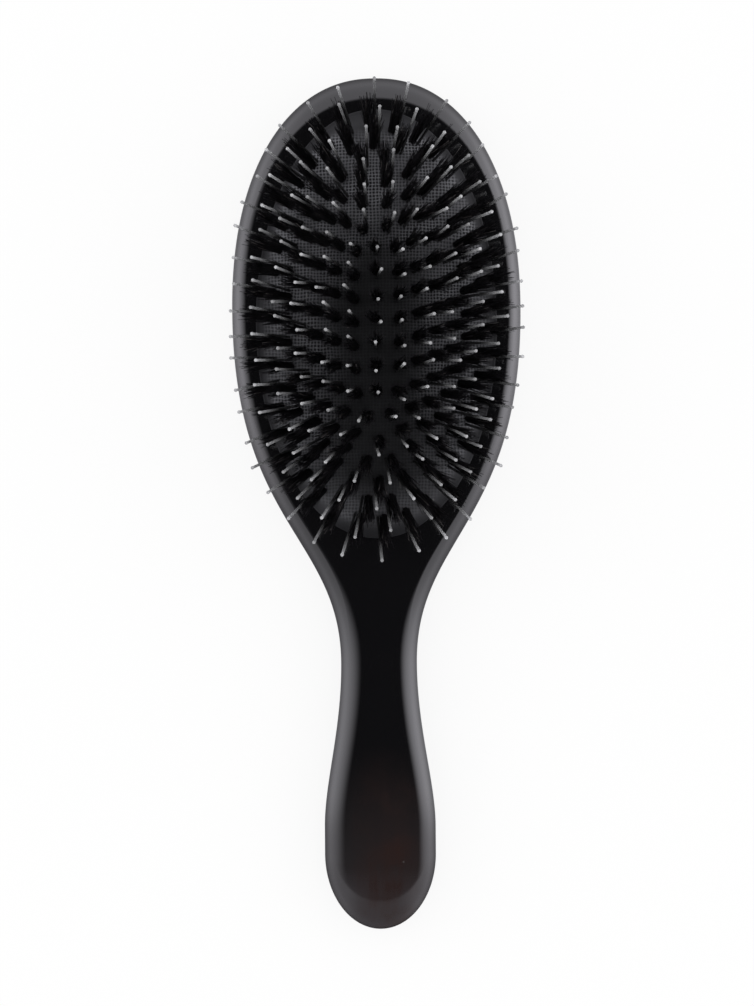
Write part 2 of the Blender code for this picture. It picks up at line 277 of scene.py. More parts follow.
glossy_ray = add_node(room, "ShaderNodeLightPath").outputs["Is Glossy Ray"]
even = add_node(room, "ShaderNodeBackground", Strength=EVEN_LIGHT, Color=WHITE)
mirrored = add_node(room, "ShaderNodeBackground", Strength=reflected, Color=ROOM_TINT)
backdrop = add_node(room, "ShaderNodeBackground", Strength=1.0, Color=WHITE)
lit = mix_shaders(room, glossy_ray, even, mirrored)
seen = mix_shaders(room, seen_directly(room), lit, backdrop)
add_node(room, "ShaderNodeOutputWorld", Surface=seen.outputs[0])
print("nodes for the whole world:", len(room.nodes))

# %% [markdown]
# Two lamps give the even light a direction, so that rubber and hair keep some form. Small lamps would do
# that too, but with hard shadows between the bristles. So they are long and soft, one on each side, and
# hidden from reflections, because the room above already draws those.

# %% Lamps
LAMP_SIZE = (1.4, 0.7)
LAMP_RADIANCE = 0.9
LAMP_PLACES = {"lamp_left": (-1.2, 0.3, 0.7), "lamp_right": (1.2, 0.1, 0.8)}


def add_lamp(name, size, radiance, place, target):
    """A long soft lamp that faces its target. Radiance is how bright its face looks, where 1 is white."""
    data = bpy.data.lights.new(name, "AREA")
    data.shape = "RECTANGLE"
    data.size, data.size_y = size
    data.energy = radiance * math.pi * size[0] * size[1]
    lamp = bpy.data.objects.new(name, data)
    lamp.location = place
    lamp.rotation_euler = (Vector(target) - Vector(place)).to_track_quat("-Z", "Y").to_euler()
    lamp.visible_glossy = False
    bpy.context.scene.collection.objects.link(lamp)


for name, place in LAMP_PLACES.items():
    add_lamp(name, LAMP_SIZE, LAMP_RADIANCE, place, (0, 0, 0))

# %% [markdown]
# ## Floor
#
# The floor is white paper, and it keeps the soft shadow of the brush. More light would turn it as white
# as the picture's, but would bleach the brush too. So to the eye a part of its white is its own glow,
# and the rest is lit paper. Reflections pass the floor by, because the room above already has a ground.

# %% Paper floor
FLOOR_HALF_SIZE = 3.0
FLOOR_DROP = 0.0001
PAPER_WHITE = (0.90, 0.90, 0.90, 1)
GLOW_SHARE = 0.86

half = FLOOR_HALF_SIZE
corners = [(x, y, -FLOOR_DROP) for x, y in ((-half, -half), (half, -half), (half, half), (-half, half))]
floor_mesh = bpy.data.meshes.new("paper_floor")
floor_mesh.from_pydata(corners, [], [(0, 1, 2, 3)])
floor = bpy.data.objects.new("paper_floor", floor_mesh)
floor.visible_glossy = False
bpy.context.scene.collection.objects.link(floor)
paper = bpy.data.materials.new("white_paper")
paper.use_nodes = True
tree = paper.node_tree
tree.nodes.clear()
matt = add_node(tree, "ShaderNodeBsdfDiffuse", Color=PAPER_WHITE)
glow = add_node(tree, "ShaderNodeEmission", Strength=1.0)
both = mix_shaders(tree, maths(tree, "MULTIPLY", seen_directly(tree), GLOW_SHARE), matt, glow)
add_node(tree, "ShaderNodeOutputMaterial", Surface=both.outputs[0])
floor_mesh.materials.append(paper)
print("floor of", 2 * FLOOR_HALF_SIZE, "m")

# %% [markdown]
# ## Shared effects
#
# Some effects come back in several finishes. They could be copied from one material to the next, but a
# node group is built once, has named inputs, and is then placed wherever it is needed, each time with
# its own values. A group gives out values only, and the shader that uses them stays in the material.
#
# The first effect is mottling: soft patches that wander between two levels. Real surfaces are nowhere
# quite even, and a little of it in the roughness already makes a finish look handled.

# %% Soft mottling
VECTOR, FLOAT = "NodeSocketVector", "NodeSocketFloat"
MOTTLE_EDGES = (0.32, 0.68)


def new_group(name, inputs, outputs):
    """An empty node group: inputs are (name, kind, start value), outputs are (name, kind)."""
    group = bpy.data.node_groups.new(name, "ShaderNodeTree")
    for label, kind, start in inputs:
        socket = group.interface.new_socket(label, in_out="INPUT", socket_type=kind)
        if start is not None:
            socket.default_value = start
    for label, kind in outputs:
        group.interface.new_socket(label, in_out="OUTPUT", socket_type=kind)
    return group, group.nodes.new("NodeGroupInput").outputs, group.nodes.new("NodeGroupOutput").inputs


mottle_group, given, result = new_group(
    "soft_mottle",
    [("Place", VECTOR, None), ("Scale", FLOAT, 40.0), ("Low", FLOAT, 0.0), ("High", FLOAT, 1.0)],
    [("Value", FLOAT)])
patches = add_node(mottle_group, "ShaderNodeTexNoise", Vector=given["Place"], Scale=given["Scale"],
                   Detail=4.0)
mottled = ramp_between(mottle_group, patches.outputs[0], *MOTTLE_EDGES, given["Low"], given["High"])
mottle_group.links.new(mottled, result["Value"])
print("nodes for mottling:", len(mottle_group.nodes))

# %% [markdown]
# Dust settles as single specks, not as a film. Painted dots would have to be placed one by one. A cell
# pattern gives a random point for each cell instead. Only the middle of a cell counts, and only of the
# few cells whose own random number is low enough.

# %% Settled dust
SPECK_EDGE = (0.10, 0.26)

dust_group, given, result = new_group(
    "settled_dust",
    [("Place", VECTOR, None), ("Scale", FLOAT, 900.0), ("Amount", FLOAT, 0.2)],
    [("Mask", FLOAT)])
cells = add_node(dust_group, "ShaderNodeTexVoronoi", Vector=given["Place"], Scale=given["Scale"])
speck = ramp_between(dust_group, cells.outputs["Distance"], *SPECK_EDGE, 1.0, 0.0)
own_number = add_node(dust_group, "ShaderNodeSeparateColor", Color=cells.outputs["Color"]).outputs[0]
chosen = maths(dust_group, "LESS_THAN", own_number, given["Amount"])
dust_group.links.new(maths(dust_group, "MULTIPLY", speck, chosen), result["Mask"])
print("nodes for dust:", len(dust_group.nodes))

# %% [markdown]
# Wood grain, and the fine lines of drawn nylon, are noise pulled out in one direction. A wave pattern
# would give lines too, but all alike. The noise is pulled by making the coordinate along the brush
# change more slowly than the other two.

# %% Drawn-out grain
grain_group, given, result = new_group(
    "long_grain",
    [("Place", VECTOR, None), ("Scale", FLOAT, 700.0), ("Draw", FLOAT, 0.03)],
    [("Value", FLOAT)])
drawn = add_node(grain_group, "ShaderNodeCombineXYZ", X=1.0, Y=given["Draw"], Z=1.0).outputs[0]
pulled = vector_maths(grain_group, "MULTIPLY", given["Place"], drawn)
fibres = add_node(grain_group, "ShaderNodeTexNoise", Vector=pulled, Scale=given["Scale"], Detail=3.0)
grain_group.links.new(fibres.outputs[0], result["Value"])
print("nodes for grain:", len(grain_group.nodes))

# %% [markdown]
# A plain weave has two sets of round threads, each above the other by turns, with a hole where neither
# passes. Across a thread its height is a cosine arch. Along it the thread goes up and down by another
# cosine, which starts over at each neighbour. At every place the higher of the two threads is on top.
# An image of cloth would do from one distance only, while these few sums stay sharp from near and far.

# %% Plain weave
THREAD_DIVE = 0.35
HOLE_EDGE = (0.66, 0.97)

weave_group, given, result = new_group(
    "plain_weave",
    [("Place", VECTOR, None), ("Pitch", FLOAT, 0.0009)],
    [("Height", FLOAT), ("Hole", FLOAT)])
place = add_node(weave_group, "ShaderNodeSeparateXYZ", Vector=given["Place"]).outputs


def thread_set(along, across, half_turns):
    """Arch and height of one set: a cosine across the thread, and that times a cosine along it."""
    own = maths(weave_group, "DIVIDE", place[along], given["Pitch"])
    other = maths(weave_group, "DIVIDE", place[across], given["Pitch"])
    offset = maths(weave_group, "SUBTRACT", maths(weave_group, "FRACT", own), 0.5)
    arch = maths(weave_group, "COSINE", maths(weave_group, "MULTIPLY", offset, math.pi))
    turn = maths(weave_group, "ADD", maths(weave_group, "FLOOR", own),
                 maths(weave_group, "SUBTRACT", other, 0.5))
    turn = maths(weave_group, "ADD", turn, half_turns)
    wave = maths(weave_group, "COSINE", maths(weave_group, "MULTIPLY", turn, math.pi))
    lift = maths(weave_group, "MULTIPLY_ADD", wave, THREAD_DIVE, 1 - THREAD_DIVE)
    return arch, maths(weave_group, "MULTIPLY", arch, lift)


warp_arch, warp = thread_set("X", "Y", 0.0)
weft_arch, weft = thread_set("Y", "X", 1.0)
weave_group.links.new(maths(weave_group, "MAXIMUM", warp, weft), result["Height"])
covered = maths(weave_group, "MAXIMUM", warp_arch, weft_arch)
weave_group.links.new(ramp_between(weave_group, covered, *HOLE_EDGE, 1.0, 0.0), result["Hole"])
print("groups:", [group.name for group in bpy.data.node_groups])

# %% [markdown]
# ## Black lacquer
#
# The wood is dyed black and sprayed with clear lacquer. A dark colour with low roughness would give a
# plastic look, the same all over. The real thing is two layers, so the finish has two as well: a dyed
# colour below, and a clear coat above it that mirrors the room. The dye comes first. It lets a little
# red-brown wood through, most of all in the middle of the grip. A paler grey is painted along the grip and
# more at its end: it is painted reflection of the room there, and partly lacquer that hands have dulled.

# %% Lacquer: the dye
DYED_BLACK = (0.0026, 0.0025, 0.0031)
# Painted reflection, partly wear: the two paler greys below stand in for the room's reflection on the grip
# and its end
GRIP_SHEEN_AND_WEAR = (0.0180, 0.0158, 0.0168)
END_SHEEN_AND_WEAR = (0.0292, 0.0262, 0.0286)
RED_BROWN = (0.0215, 0.0115, 0.0102)
# Stretches of the brush's length, from where an effect starts to where it is full
GRIP_SHEEN_GROWS = (-0.066, -0.114)
END_SHEEN_GROWS = (-0.101, -0.110)
RED_GROWS = (-0.066, -0.094)
RED_MIDDLE_X = 0.0025
RED_FADES_ASIDE = (0.003, 0.013)
GRAIN_EDGES = (0.35, 0.70)
GRAIN_SHARE = 0.4


def use_group(tree, group, **inputs):
    """Places a node group and returns its outputs."""
    return add_node(tree, "ShaderNodeGroup", {"node_tree": group}, **inputs).outputs


def start_finish(name, **constants):
    """A material with one Principled surface, whose constants are set on its own sockets."""
    material = bpy.data.materials.new(name)
    material.use_nodes = True
    tree = material.node_tree
    surface = tree.nodes["Principled BSDF"]
    for socket, value in constants.items():
        surface.inputs[socket.replace("_", " ")].default_value = value
    place = add_node(tree, "ShaderNodeTexCoord").outputs["Object"]
    return material, tree, surface, place


lacquer, tree, surface, place = start_finish(
    "black_lacquer", IOR=1.5, Specular_IOR_Level=0.5, Coat_IOR=1.5, Coat_Roughness=0.06)
where = add_node(tree, "ShaderNodeSeparateXYZ", Vector=place).outputs
# Painted reflection, partly wear: a paler grey grows along the grip, and more at its end
sheen_and_wear = mix_colours(tree, ramp_between(tree, where["Y"], *GRIP_SHEEN_GROWS), DYED_BLACK, GRIP_SHEEN_AND_WEAR)
sheen_and_wear = mix_colours(tree, ramp_between(tree, where["Y"], *END_SHEEN_GROWS), sheen_and_wear, END_SHEEN_AND_WEAR)
streaks = use_group(tree, grain_group, Place=place, Scale=420.0, Draw=0.06)["Value"]
streaks = ramp_between(tree, streaks, *GRAIN_EDGES)
grain = maths(tree, "MULTIPLY_ADD", streaks, GRAIN_SHARE, 1 - GRAIN_SHARE)
clouds = use_group(tree, mottle_group, Place=place, Scale=95.0, Low=0.35, High=1.0)["Value"]
aside = maths(tree, "ABSOLUTE", maths(tree, "SUBTRACT", where["X"], RED_MIDDLE_X))
in_middle = ramp_between(tree, aside, *RED_FADES_ASIDE, 1.0, 0.0)
on_grip = ramp_between(tree, where["Y"], *RED_GROWS)
dyed = mix_colours(tree, product(tree, in_middle, on_grip, grain, clouds), sheen_and_wear, RED_BROWN)
print("nodes for the dye:", len(tree.nodes))

# %% [markdown]
# On the dye lie two faint veils: a paler grey on the rolled sides beside the cushion, and a few specks of
# pale dust. The grey on the roll is painted reflection, which lightens the grey band that the room draws
# there. They could be part of the film, but the film mirrors what is round it, while these stay where they
# are from every side. So they are colour.

# %% Lacquer: painted reflection on the roll, and dust
# Painted reflection: a paler grey for the rolled sides beside the cushion
ROLL_REFLECTION_GREY = (0.040, 0.038, 0.042)
PALE_DUST = (0.16, 0.15, 0.14)
ROLL_REFLECTION_GROWS = (-0.018, 0.028)
ROLL_REFLECTION_FADES = (0.050, 0.085)
ROLL_REFLECTION_ENDS_AT_HEIGHT = (0.0143, 0.0153)
DUST_ON_COLOUR = 0.15

# Painted reflection: the rolled sides beside the cushion are painted paler, which lightens the grey band
# there
on_roll = ramp_between(tree, where["Z"], *ROLL_REFLECTION_ENDS_AT_HEIGHT, 1.0, 0.0)
beside_cushion = maths(tree, "MULTIPLY", ramp_between(tree, where["Y"], *ROLL_REFLECTION_GROWS),
                       ramp_between(tree, where["Y"], *ROLL_REFLECTION_FADES, 1.0, 0.0))
with_roll_reflection = mix_colours(tree, maths(tree, "MULTIPLY", on_roll, beside_cushion), dyed, ROLL_REFLECTION_GREY)
specks = use_group(tree, dust_group, Place=place, Scale=620.0, Amount=0.010)["Mask"]
dusty = mix_colours(tree, maths(tree, "MULTIPLY", specks, DUST_ON_COLOUR), with_roll_reflection, PALE_DUST)
tree.links.new(dusty, surface.inputs["Base Color"])
print("nodes for the colour:", len(tree.nodes))

# %% [markdown]
# Over the colour lies the film. It is almost smooth, with the faint waviness of a sprayed coat, dull
# smears where it is held, and a little less gloss on the rolled edges, which are handled most. At the
# grip's end the film has worn thin, so it mirrors less of the room there. An even roughness would do
# from afar, but close up it is these traces that tell lacquer from plastic.

# %% Lacquer: the film
FILM_ROUGHNESS = 0.10
SMEAR_ROUGHNESS = 0.03
EDGE_ROUGHNESS = 0.03
EDGE_ENDS_AT_HEIGHT = (0.0146, 0.0154)
SPECK_ROUGHNESS = 0.4
SPECK_HIDES_FILM = 0.8
END_FILM_SHARE = 0.28
END_FILM_THICKENS = (-0.098, -0.080)
FILM_WAVE = 0.000004


def add_bump(tree, surface, height, distance):
    """Lets a height shade the surface as relief of that depth in metres."""
    bump = add_node(tree, "ShaderNodeBump", Height=height, Distance=distance)
    tree.links.new(bump.outputs["Normal"], surface.inputs["Normal"])


smears = use_group(tree, mottle_group, Place=place, Scale=55.0, Low=0.0, High=SMEAR_ROUGHNESS)["Value"]
edge = ramp_between(tree, where["Z"], *EDGE_ENDS_AT_HEIGHT, EDGE_ROUGHNESS, 0.0)
handled = maths(tree, "ADD", smears, edge)
dull = maths(tree, "ADD", handled, maths(tree, "MULTIPLY", specks, SPECK_ROUGHNESS))
tree.links.new(maths(tree, "ADD", dull, FILM_ROUGHNESS), surface.inputs["Roughness"])
bare = maths(tree, "SUBTRACT", 1.0, maths(tree, "MULTIPLY", specks, SPECK_HIDES_FILM))
thickness = ramp_between(tree, where["Y"], *END_FILM_THICKENS, END_FILM_SHARE, 1.0)
tree.links.new(maths(tree, "MULTIPLY", bare, thickness), surface.inputs["Coat Weight"])
add_bump(tree, surface, use_group(tree, mottle_group, Place=place, Scale=260.0)["Value"], FILM_WAVE)
print("nodes for the whole lacquer:", len(tree.nodes))

# %% [markdown]
# ## Wooden body
#
# Seen from above, the half outline of the body is a squared-off oval for the head, two smooth curves
# down to the grip, and a rounded end. It could be traced point by point, but a traced line is never
# quite smooth, and gloss shows every bump of it. Two formulas give all of it instead: a circle whose
# sine and cosine are raised to a power, and a cubic curve.

# %% Curves for outlines
def signed_power(values, power):
    """|v| to a power, with the sign of v. On a circle's sine and cosine it squares the circle off."""
    return np.sign(values) * np.abs(values) ** power


def side_curve(start, end, tangent_shares, steps):
    """Cubic curve from A to D: (1-t)^3 A + 3(1-t)^2 t B + 3(1-t)t^2 C + t^3 D.

    B and C lie straight along the handle from A and D, so that one curve runs on smoothly into the next.
    """
    start, end = np.array(start), np.array(end)
    reach = np.array((0.0, end[1] - start[1]))
    t = (np.arange(steps) / steps)[:, None]
    return ((1 - t) ** 3 * start + 3 * (1 - t) ** 2 * t * (start + reach * tangent_shares[0])
            + 3 * (1 - t) * t ** 2 * (end - reach * tangent_shares[1]) + t ** 3 * end)


def with_height(plan, z):
    """Plan points lifted to one height, or each to its own."""
    return np.column_stack((plan, np.broadcast_to(z, len(plan))))


print("middle of a side curve:", side_curve((1, 0), (0, -2), (0.5, 0.5), 2)[1])

# %% [markdown]
# The body is cut from one board and rounded over on both sides. It could be a flat shape with a bevel,
# but a bevel has the same width everywhere, and this roll is wide at the head's tip and at the grip's
# end and narrow at the sides. So each level of the rounding is the outline drawn again, a little further
# in. Every part of the outline has a roll of its own width, and one function with an inset gives them
# all.

# %% Outline of the body
BODY_LENGTH = 0.240
HEAD_HALF_WIDTH = 0.0407
HEAD_CROWN_LENGTH = 0.0654
HEAD_SQUARENESS = 2.2
NECK_HALF_WIDTH = 0.0107
NECK_TO_END = 0.0751
GRIP_HALF_WIDTH = 0.01565
GRIP_SWELL_LENGTH = 0.0462
END_LENGTH = 0.0212
FLANK_TANGENT_SHARES = (0.609, 0.357)
GRIP_TANGENT_SHARES = (0.409, 0.274)
HEAD_SIDE_ROLL = 0.0047
HEAD_TOP_ROLL = 0.0079
HANDLE_ROLL = 0.0073
END_ROLL = 0.0130
END_SQUARENESS = 2.0
FLAT_END_SQUARENESS = 2.5
HEAD_END_Y = BODY_LENGTH / 2
# Points on each stretch of the half outline
CROWN_POINTS = 64
FLANK_POINTS = 80
GRIP_POINTS = 44
END_POINTS = 44


def body_outline(inset):
    """The body from above, clockwise from the head's tip. Inset 0 is the outline, 1 the flat's edge.

    Head and end are ovals, x = a*sin^p and y = b*cos^p. The flank and the grip's swell are side curves.
    """
    head = HEAD_HALF_WIDTH - inset * HEAD_SIDE_ROLL
    crown = HEAD_CROWN_LENGTH - inset * HEAD_TOP_ROLL
    neck = NECK_HALF_WIDTH - inset * HANDLE_ROLL
    grip = GRIP_HALF_WIDTH - inset * HANDLE_ROLL
    end = END_LENGTH - inset * END_ROLL
    widest_y = HEAD_END_Y - HEAD_CROWN_LENGTH
    neck_y = NECK_TO_END - BODY_LENGTH / 2
    grip_y = neck_y - GRIP_SWELL_LENGTH
    end_y = END_LENGTH - BODY_LENGTH / 2
    turn = np.linspace(0, math.pi / 2, CROWN_POINTS, endpoint=False)
    top = np.stack((head * signed_power(np.sin(turn), 2 / HEAD_SQUARENESS),
                    widest_y + crown * signed_power(np.cos(turn), 2 / HEAD_SQUARENESS)), axis=1)
    flank = side_curve((head, widest_y), (neck, neck_y), FLANK_TANGENT_SHARES, FLANK_POINTS)
    swell = side_curve((neck, neck_y), (grip, grip_y), GRIP_TANGENT_SHARES, GRIP_POINTS)
    squareness = END_SQUARENESS + inset * (FLAT_END_SQUARENESS - END_SQUARENESS)
    turn = np.linspace(0, math.pi / 2, END_POINTS)
    foot = np.stack((grip * signed_power(np.cos(turn), 2 / squareness),
                     end_y - end * signed_power(np.sin(turn), 2 / squareness)), axis=1)
    foot[-1, 0] = 0
    right_side = np.concatenate((top, flank, swell, np.array([(grip, grip_y)]), foot))
    return np.concatenate((right_side, right_side[-2:0:-1] * (-1, 1)))


print("outline points:", len(body_outline(0)))

# %% [markdown]
# The rounding is a quarter of an ellipse on each side of a narrow upright land. With a as the angle
# round it, the inset is 1 - cos a and the height T - h(1 - sin a), where T is the wood's thickness and h
# the height of the roll. It could be left to a subdivision, but that would shrink the outline. One more
# ring just inside the flat keeps the flat's shading dead level. A mirror finish would show at once if
# the roll's last slope leaked into it.

# %% Rings of the rounding
BODY_THICKNESS = 0.0155
FACE_Z = BODY_THICKNESS
EDGE_LAND = 0.0010
ROLL_STEPS = 26
FLAT_MARGIN_SHARE = 1.02

angles = np.linspace(0, math.pi / 2, ROLL_STEPS + 1)
roll_height = (BODY_THICKNESS - EDGE_LAND) / 2
upper = [(1 - math.cos(a), BODY_THICKNESS - roll_height * (1 - math.sin(a))) for a in angles]
upper.append((FLAT_MARGIN_SHARE, BODY_THICKNESS))
levels = [(inset, BODY_THICKNESS - z) for inset, z in reversed(upper)] + upper
skin = np.stack([with_height(body_outline(inset), z) for inset, z in levels])
print("rings and points in the rounding:", skin.shape[:2])

# %% [markdown]
# ## Ovals of the cushion
#
# The cushion is a long oval, and everything on it follows ovals inside that one, down to a short line in
# the middle. They could be copies of the edge, scaled down, but those would end in a point, and a real
# brush has a middle row. One function gives them all: share 1 is the edge, share 0 the middle line. The
# dome's height depends on the share alone.

# %% Ovals and height of the dome
CUSHION_HALF_WIDTH = 0.0330
CUSHION_HALF_LENGTH = 0.0593
CUSHION_TO_HEAD_END = 0.0104
CUSHION_CENTRE_Y = HEAD_END_Y - CUSHION_TO_HEAD_END - CUSHION_HALF_LENGTH
CUSHION_MOUTH = np.array((0.0, CUSHION_CENTRE_Y, FACE_Z))
CUSHION_SHOULDER = 0.0012
CUSHION_CROWN = 0.0118
CUSHION_FULLNESS = 2.2
EDGE_SQUARENESS = 2.05
MIDDLE_EXTRA_SQUARENESS = 2.0
MIDDLE_EXTRA_POWER = 3
MIDDLE_ROW_HALF_LENGTH = 0.0195


def row_plan(share, turns):
    """An oval: x = share*half width*cos^p, y = half length*sin^p, with a squarer p near the middle."""
    extra = MIDDLE_EXTRA_SQUARENESS * (1 - min(share, 1)) ** MIDDLE_EXTRA_POWER
    power = 2 / (EDGE_SQUARENESS + extra)
    half_length = MIDDLE_ROW_HALF_LENGTH + share * (CUSHION_HALF_LENGTH - MIDDLE_ROW_HALF_LENGTH)
    return np.stack((share * CUSHION_HALF_WIDTH * signed_power(np.cos(turns), power),
                     half_length * signed_power(np.sin(turns), power)), axis=-1)


def dome_height(share):
    """Height of the rubber above the wood's face: shoulder + crown*(1 - share^fullness)."""
    return CUSHION_SHOULDER + CUSHION_CROWN * (1 - share ** CUSHION_FULLNESS)


def dome_points(share, turns):
    """Points of the dome, measured from the middle of the cushion's mouth."""
    plan = row_plan(share, turns)
    return np.column_stack((plan, np.full(len(plan), dome_height(share))))


print("dome top in mm:", round(1000 * (FACE_Z + dome_height(0)), 2))

# %% [markdown]
# Points at even turns of that formula crowd together at the ends of the oval. Tufts stand at even
# distances, and faces shade best when they are alike. So one function measures an oval and spaces its
# points by length. Another draws an oval at a set distance from the cushion's edge, which the pocket,
# the shoulder and the bead all need.

# %% Even spacing round an oval
FINE_TURNS = 2001


def even_turns(share, count, start_length=0.0):
    """Turns whose points lie at even distances round one oval, from its lower end."""
    fine = np.linspace(-math.pi / 2, 3 * math.pi / 2, FINE_TURNS)
    points = row_plan(share, fine)
    run = np.concatenate(([0.0], np.cumsum(np.linalg.norm(np.diff(points, axis=0), axis=1))))
    return np.interp((start_length + run[-1] * np.arange(count) / count) % run[-1], run, fine)


def edge_ring(inset, z, count):
    """An oval a set distance in from the cushion's edge, negative for outside: edge*(a - inset)/a."""
    plan = row_plan(1.0, even_turns(1.0, count))
    shrink = ((CUSHION_HALF_WIDTH - inset) / CUSHION_HALF_WIDTH,
              (CUSHION_HALF_LENGTH - inset) / CUSHION_HALF_LENGTH)
    return with_height(plan * shrink, z)


print("first turns of eight on the edge:", even_turns(1.0, 8)[:3].round(2))

# %% [markdown]
# ## From arrays to pieces
#
# An array of rings is not yet a piece. The faces could be listed by hand for each piece, but all of them
# are nets of rings, so one helper numbers the faces for every one. A second makes the object, welds what
# coincides, turns every face outwards, and shades it smooth except at real corners. Then it says which
# body of the brush the piece rides on, and gives it its material.

# %% Helpers for meshes
CORNER_ANGLE = math.radians(38)
WELD = 0.000001


def ring_faces(rings, count, first=0):
    """Four corners per face: this point and the next, on this ring and the next one up."""
    i, j = np.meshgrid(np.arange(rings - 1), np.arange(count), indexing="ij")
    after = (j + 1) % count
    corners = (i * count + j, i * count + after, (i + 1) * count + after, (i + 1) * count + j)
    return (first + np.stack(corners, axis=-1).reshape(-1, 4)).tolist()


def add_piece(name, points, faces, finish, body, welded=True):
    """A mesh object at the origin that rides on a body of the brush."""
    mesh = bpy.data.meshes.new(name)
    mesh.from_pydata(np.asarray(points).reshape(-1, 3).tolist(), [], faces)
    if welded:
        bm = bmesh.new()
        bm.from_mesh(mesh)
        bmesh.ops.remove_doubles(bm, verts=bm.verts, dist=WELD)
        bmesh.ops.recalc_face_normals(bm, faces=bm.faces)
        bm.to_mesh(mesh)
        bm.free()
    mesh.materials.append(finish)
    mesh.shade_smooth()
    mesh.set_sharp_from_angle(angle=CORNER_ANGLE)
    piece = bpy.data.objects.new(name, mesh)
    bpy.context.scene.collection.objects.link(piece)
    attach(piece, body)
    return piece


def triangles_in(piece):
    """How many triangles a piece has."""
    return sum(len(face.vertices) - 2 for face in piece.data.polygons)


print("faces between two rings of eight points:", len(ring_faces(2, 8)))

# %% [markdown]
# ## Pocket, and the body as one piece
#
# The pocket for the cushion goes down from a softly broken lip, and has an undercut groove for the bead.
# It could be cut with a Boolean, but that leaves long thin faces round the mouth, which a mirror finish
# shows. So the pocket is a profile carried round the oval of the cushion.

# %% Rings of the pocket
GAP = 0.0003
POCKET_DEPTH = 0.0065
LIP_RADIUS = 0.00015
LIP_STEPS = 5
LIP_MARGIN = 0.0002
GROOVE_DROP = 0.0018
GROOVE_HEIGHT = 0.0020
GROOVE_REACH = 0.0012
POCKET_POINTS = 256

lip_angles = np.linspace(0, math.pi / 2, LIP_STEPS + 1)
groove_floor = -GROOVE_DROP - GROOVE_HEIGHT
profile = [(LIP_RADIUS + LIP_MARGIN, 0.0)]
profile += [(LIP_RADIUS * (1 - math.sin(a)), -LIP_RADIUS * (1 - math.cos(a))) for a in lip_angles]
profile += [(0.0, -GROOVE_DROP), (GROOVE_REACH, -GROOVE_DROP), (GROOVE_REACH, groove_floor)]
profile += [(0.0, groove_floor), (0.0, -POCKET_DEPTH)]
pocket = np.stack([edge_ring(-GAP - out, z, POCKET_POINTS) for out, z in profile]) + CUSHION_MOUTH
print("rings and points in the pocket:", pocket.shape[:2])

# %% [markdown]
# The body is one piece of wood, so the rounding and the pocket become one closed mesh. The flat face
# between them has an outline on the outside and another on the inside. A single face can't have a hole,
# and a net of rings would pull the two outlines' points into long slivers. A helper of Blender's fills
# such a shape with triangles, and on a flat face nobody sees how they lie.

# %% Wooden body
rings, count = skin.shape[:2]
first = rings * count
faces = ring_faces(rings, count) + ring_faces(len(pocket), POCKET_POINTS, first)
faces.append(list(range(count)))
faces.append([first + (len(pocket) - 1) * POCKET_POINTS + k for k in range(POCKET_POINTS)])
number = np.concatenate((np.arange(count) + (rings - 1) * count, np.arange(POCKET_POINTS) + first))
flat = tessellate_polygon([skin[-1].tolist(), pocket[0].tolist()])
faces += [[int(number[k]) for k in triangle] for triangle in flat]
points = np.concatenate((skin.reshape(-1, 3), pocket.reshape(-1, 3)))
body = add_piece("lacquered_body", points, faces, lacquer, "brush_body")
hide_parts("wood_body")
print("body triangles:", triangles_in(body))

# %% [markdown]
# ## Tufts: where they stand
#
# The tufts stand on the same ovals as the cushion, a middle line and six rows, nearly square to the
# dome, so they fan out. They could be scattered at random, but a real brush is drilled in even rows, and
# the rows show clearly. Every place needs a foot on the rubber, the direction up and the direction along
# the row. Small steps along and across the oval give two directions on the surface, and their cross
# product is the third. Towards both ends the fan is a fifth wider than the dome alone makes it, because
# the stretched skin turns the outer tufts over.

# %% Places of the tufts
OVAL_ROWS = 6
OUTER_ROW_WIDTH_SHARE = 0.87
ROW_SPREAD_POWER = 0.9
TUFT_PITCH = 0.0064
VENT_ASIDE = 0.0022
SURFACE_STEP_SHARE = 0.001
FAN_TO_ENDS = 1.2
MEASURING_TURNS = 721


def unit(vectors):
    """Vectors of length one."""
    return vectors / np.linalg.norm(vectors, axis=-1, keepdims=True)


def middle_places():
    """Places on the middle line, all upright, at even distances."""
    count = 1 + round(2 * MIDDLE_ROW_HALF_LENGTH / TUFT_PITCH)
    feet = np.zeros((count, 3))
    feet[:, 1] = np.linspace(-MIDDLE_ROW_HALF_LENGTH, MIDDLE_ROW_HALF_LENGTH, count)
    feet[:, 2] = dome_height(0)
    up = np.tile((0.0, 0.0, 1.0), (count, 1))
    along = np.tile((0.0, 1.0, 0.0), (count, 1))
    return feet + CUSHION_MOUTH, up, along


def oval_places(row):
    """Feet, directions up and directions along the row, each as an array with one line per tuft.

    Rows lie closer together towards the edge: share = outer share*(row/rows)^p, with p below 1. Up is
    square to the surface: the cross product of a small step outward and a small step along.
    """
    share = OUTER_ROW_WIDTH_SHARE * (row / OVAL_ROWS) ** ROW_SPREAD_POWER
    round_it = row_plan(share, np.linspace(0, 2 * math.pi, MEASURING_TURNS))
    length = np.linalg.norm(np.diff(round_it, axis=0), axis=1).sum()
    count = round(length / TUFT_PITCH)
    pitch = length / count
    start = pitch / 2 - VENT_ASIDE if row == OVAL_ROWS else pitch / 2 * (row % 2)
    turns = even_turns(share, count, start)
    step = SURFACE_STEP_SHARE
    along = unit(dome_points(share, turns + step) - dome_points(share, turns - step))
    outward = dome_points(share + step, turns) - dome_points(share - step, turns)
    up = unit(np.cross(outward, along)) * (1, FAN_TO_ENDS, 1)
    return dome_points(share, turns) + CUSHION_MOUTH, unit(up), along


rows = [middle_places()] + [oval_places(row) for row in range(1, OVAL_ROWS + 1)]
print("tufts per row:", [len(feet) for feet, up, along in rows])

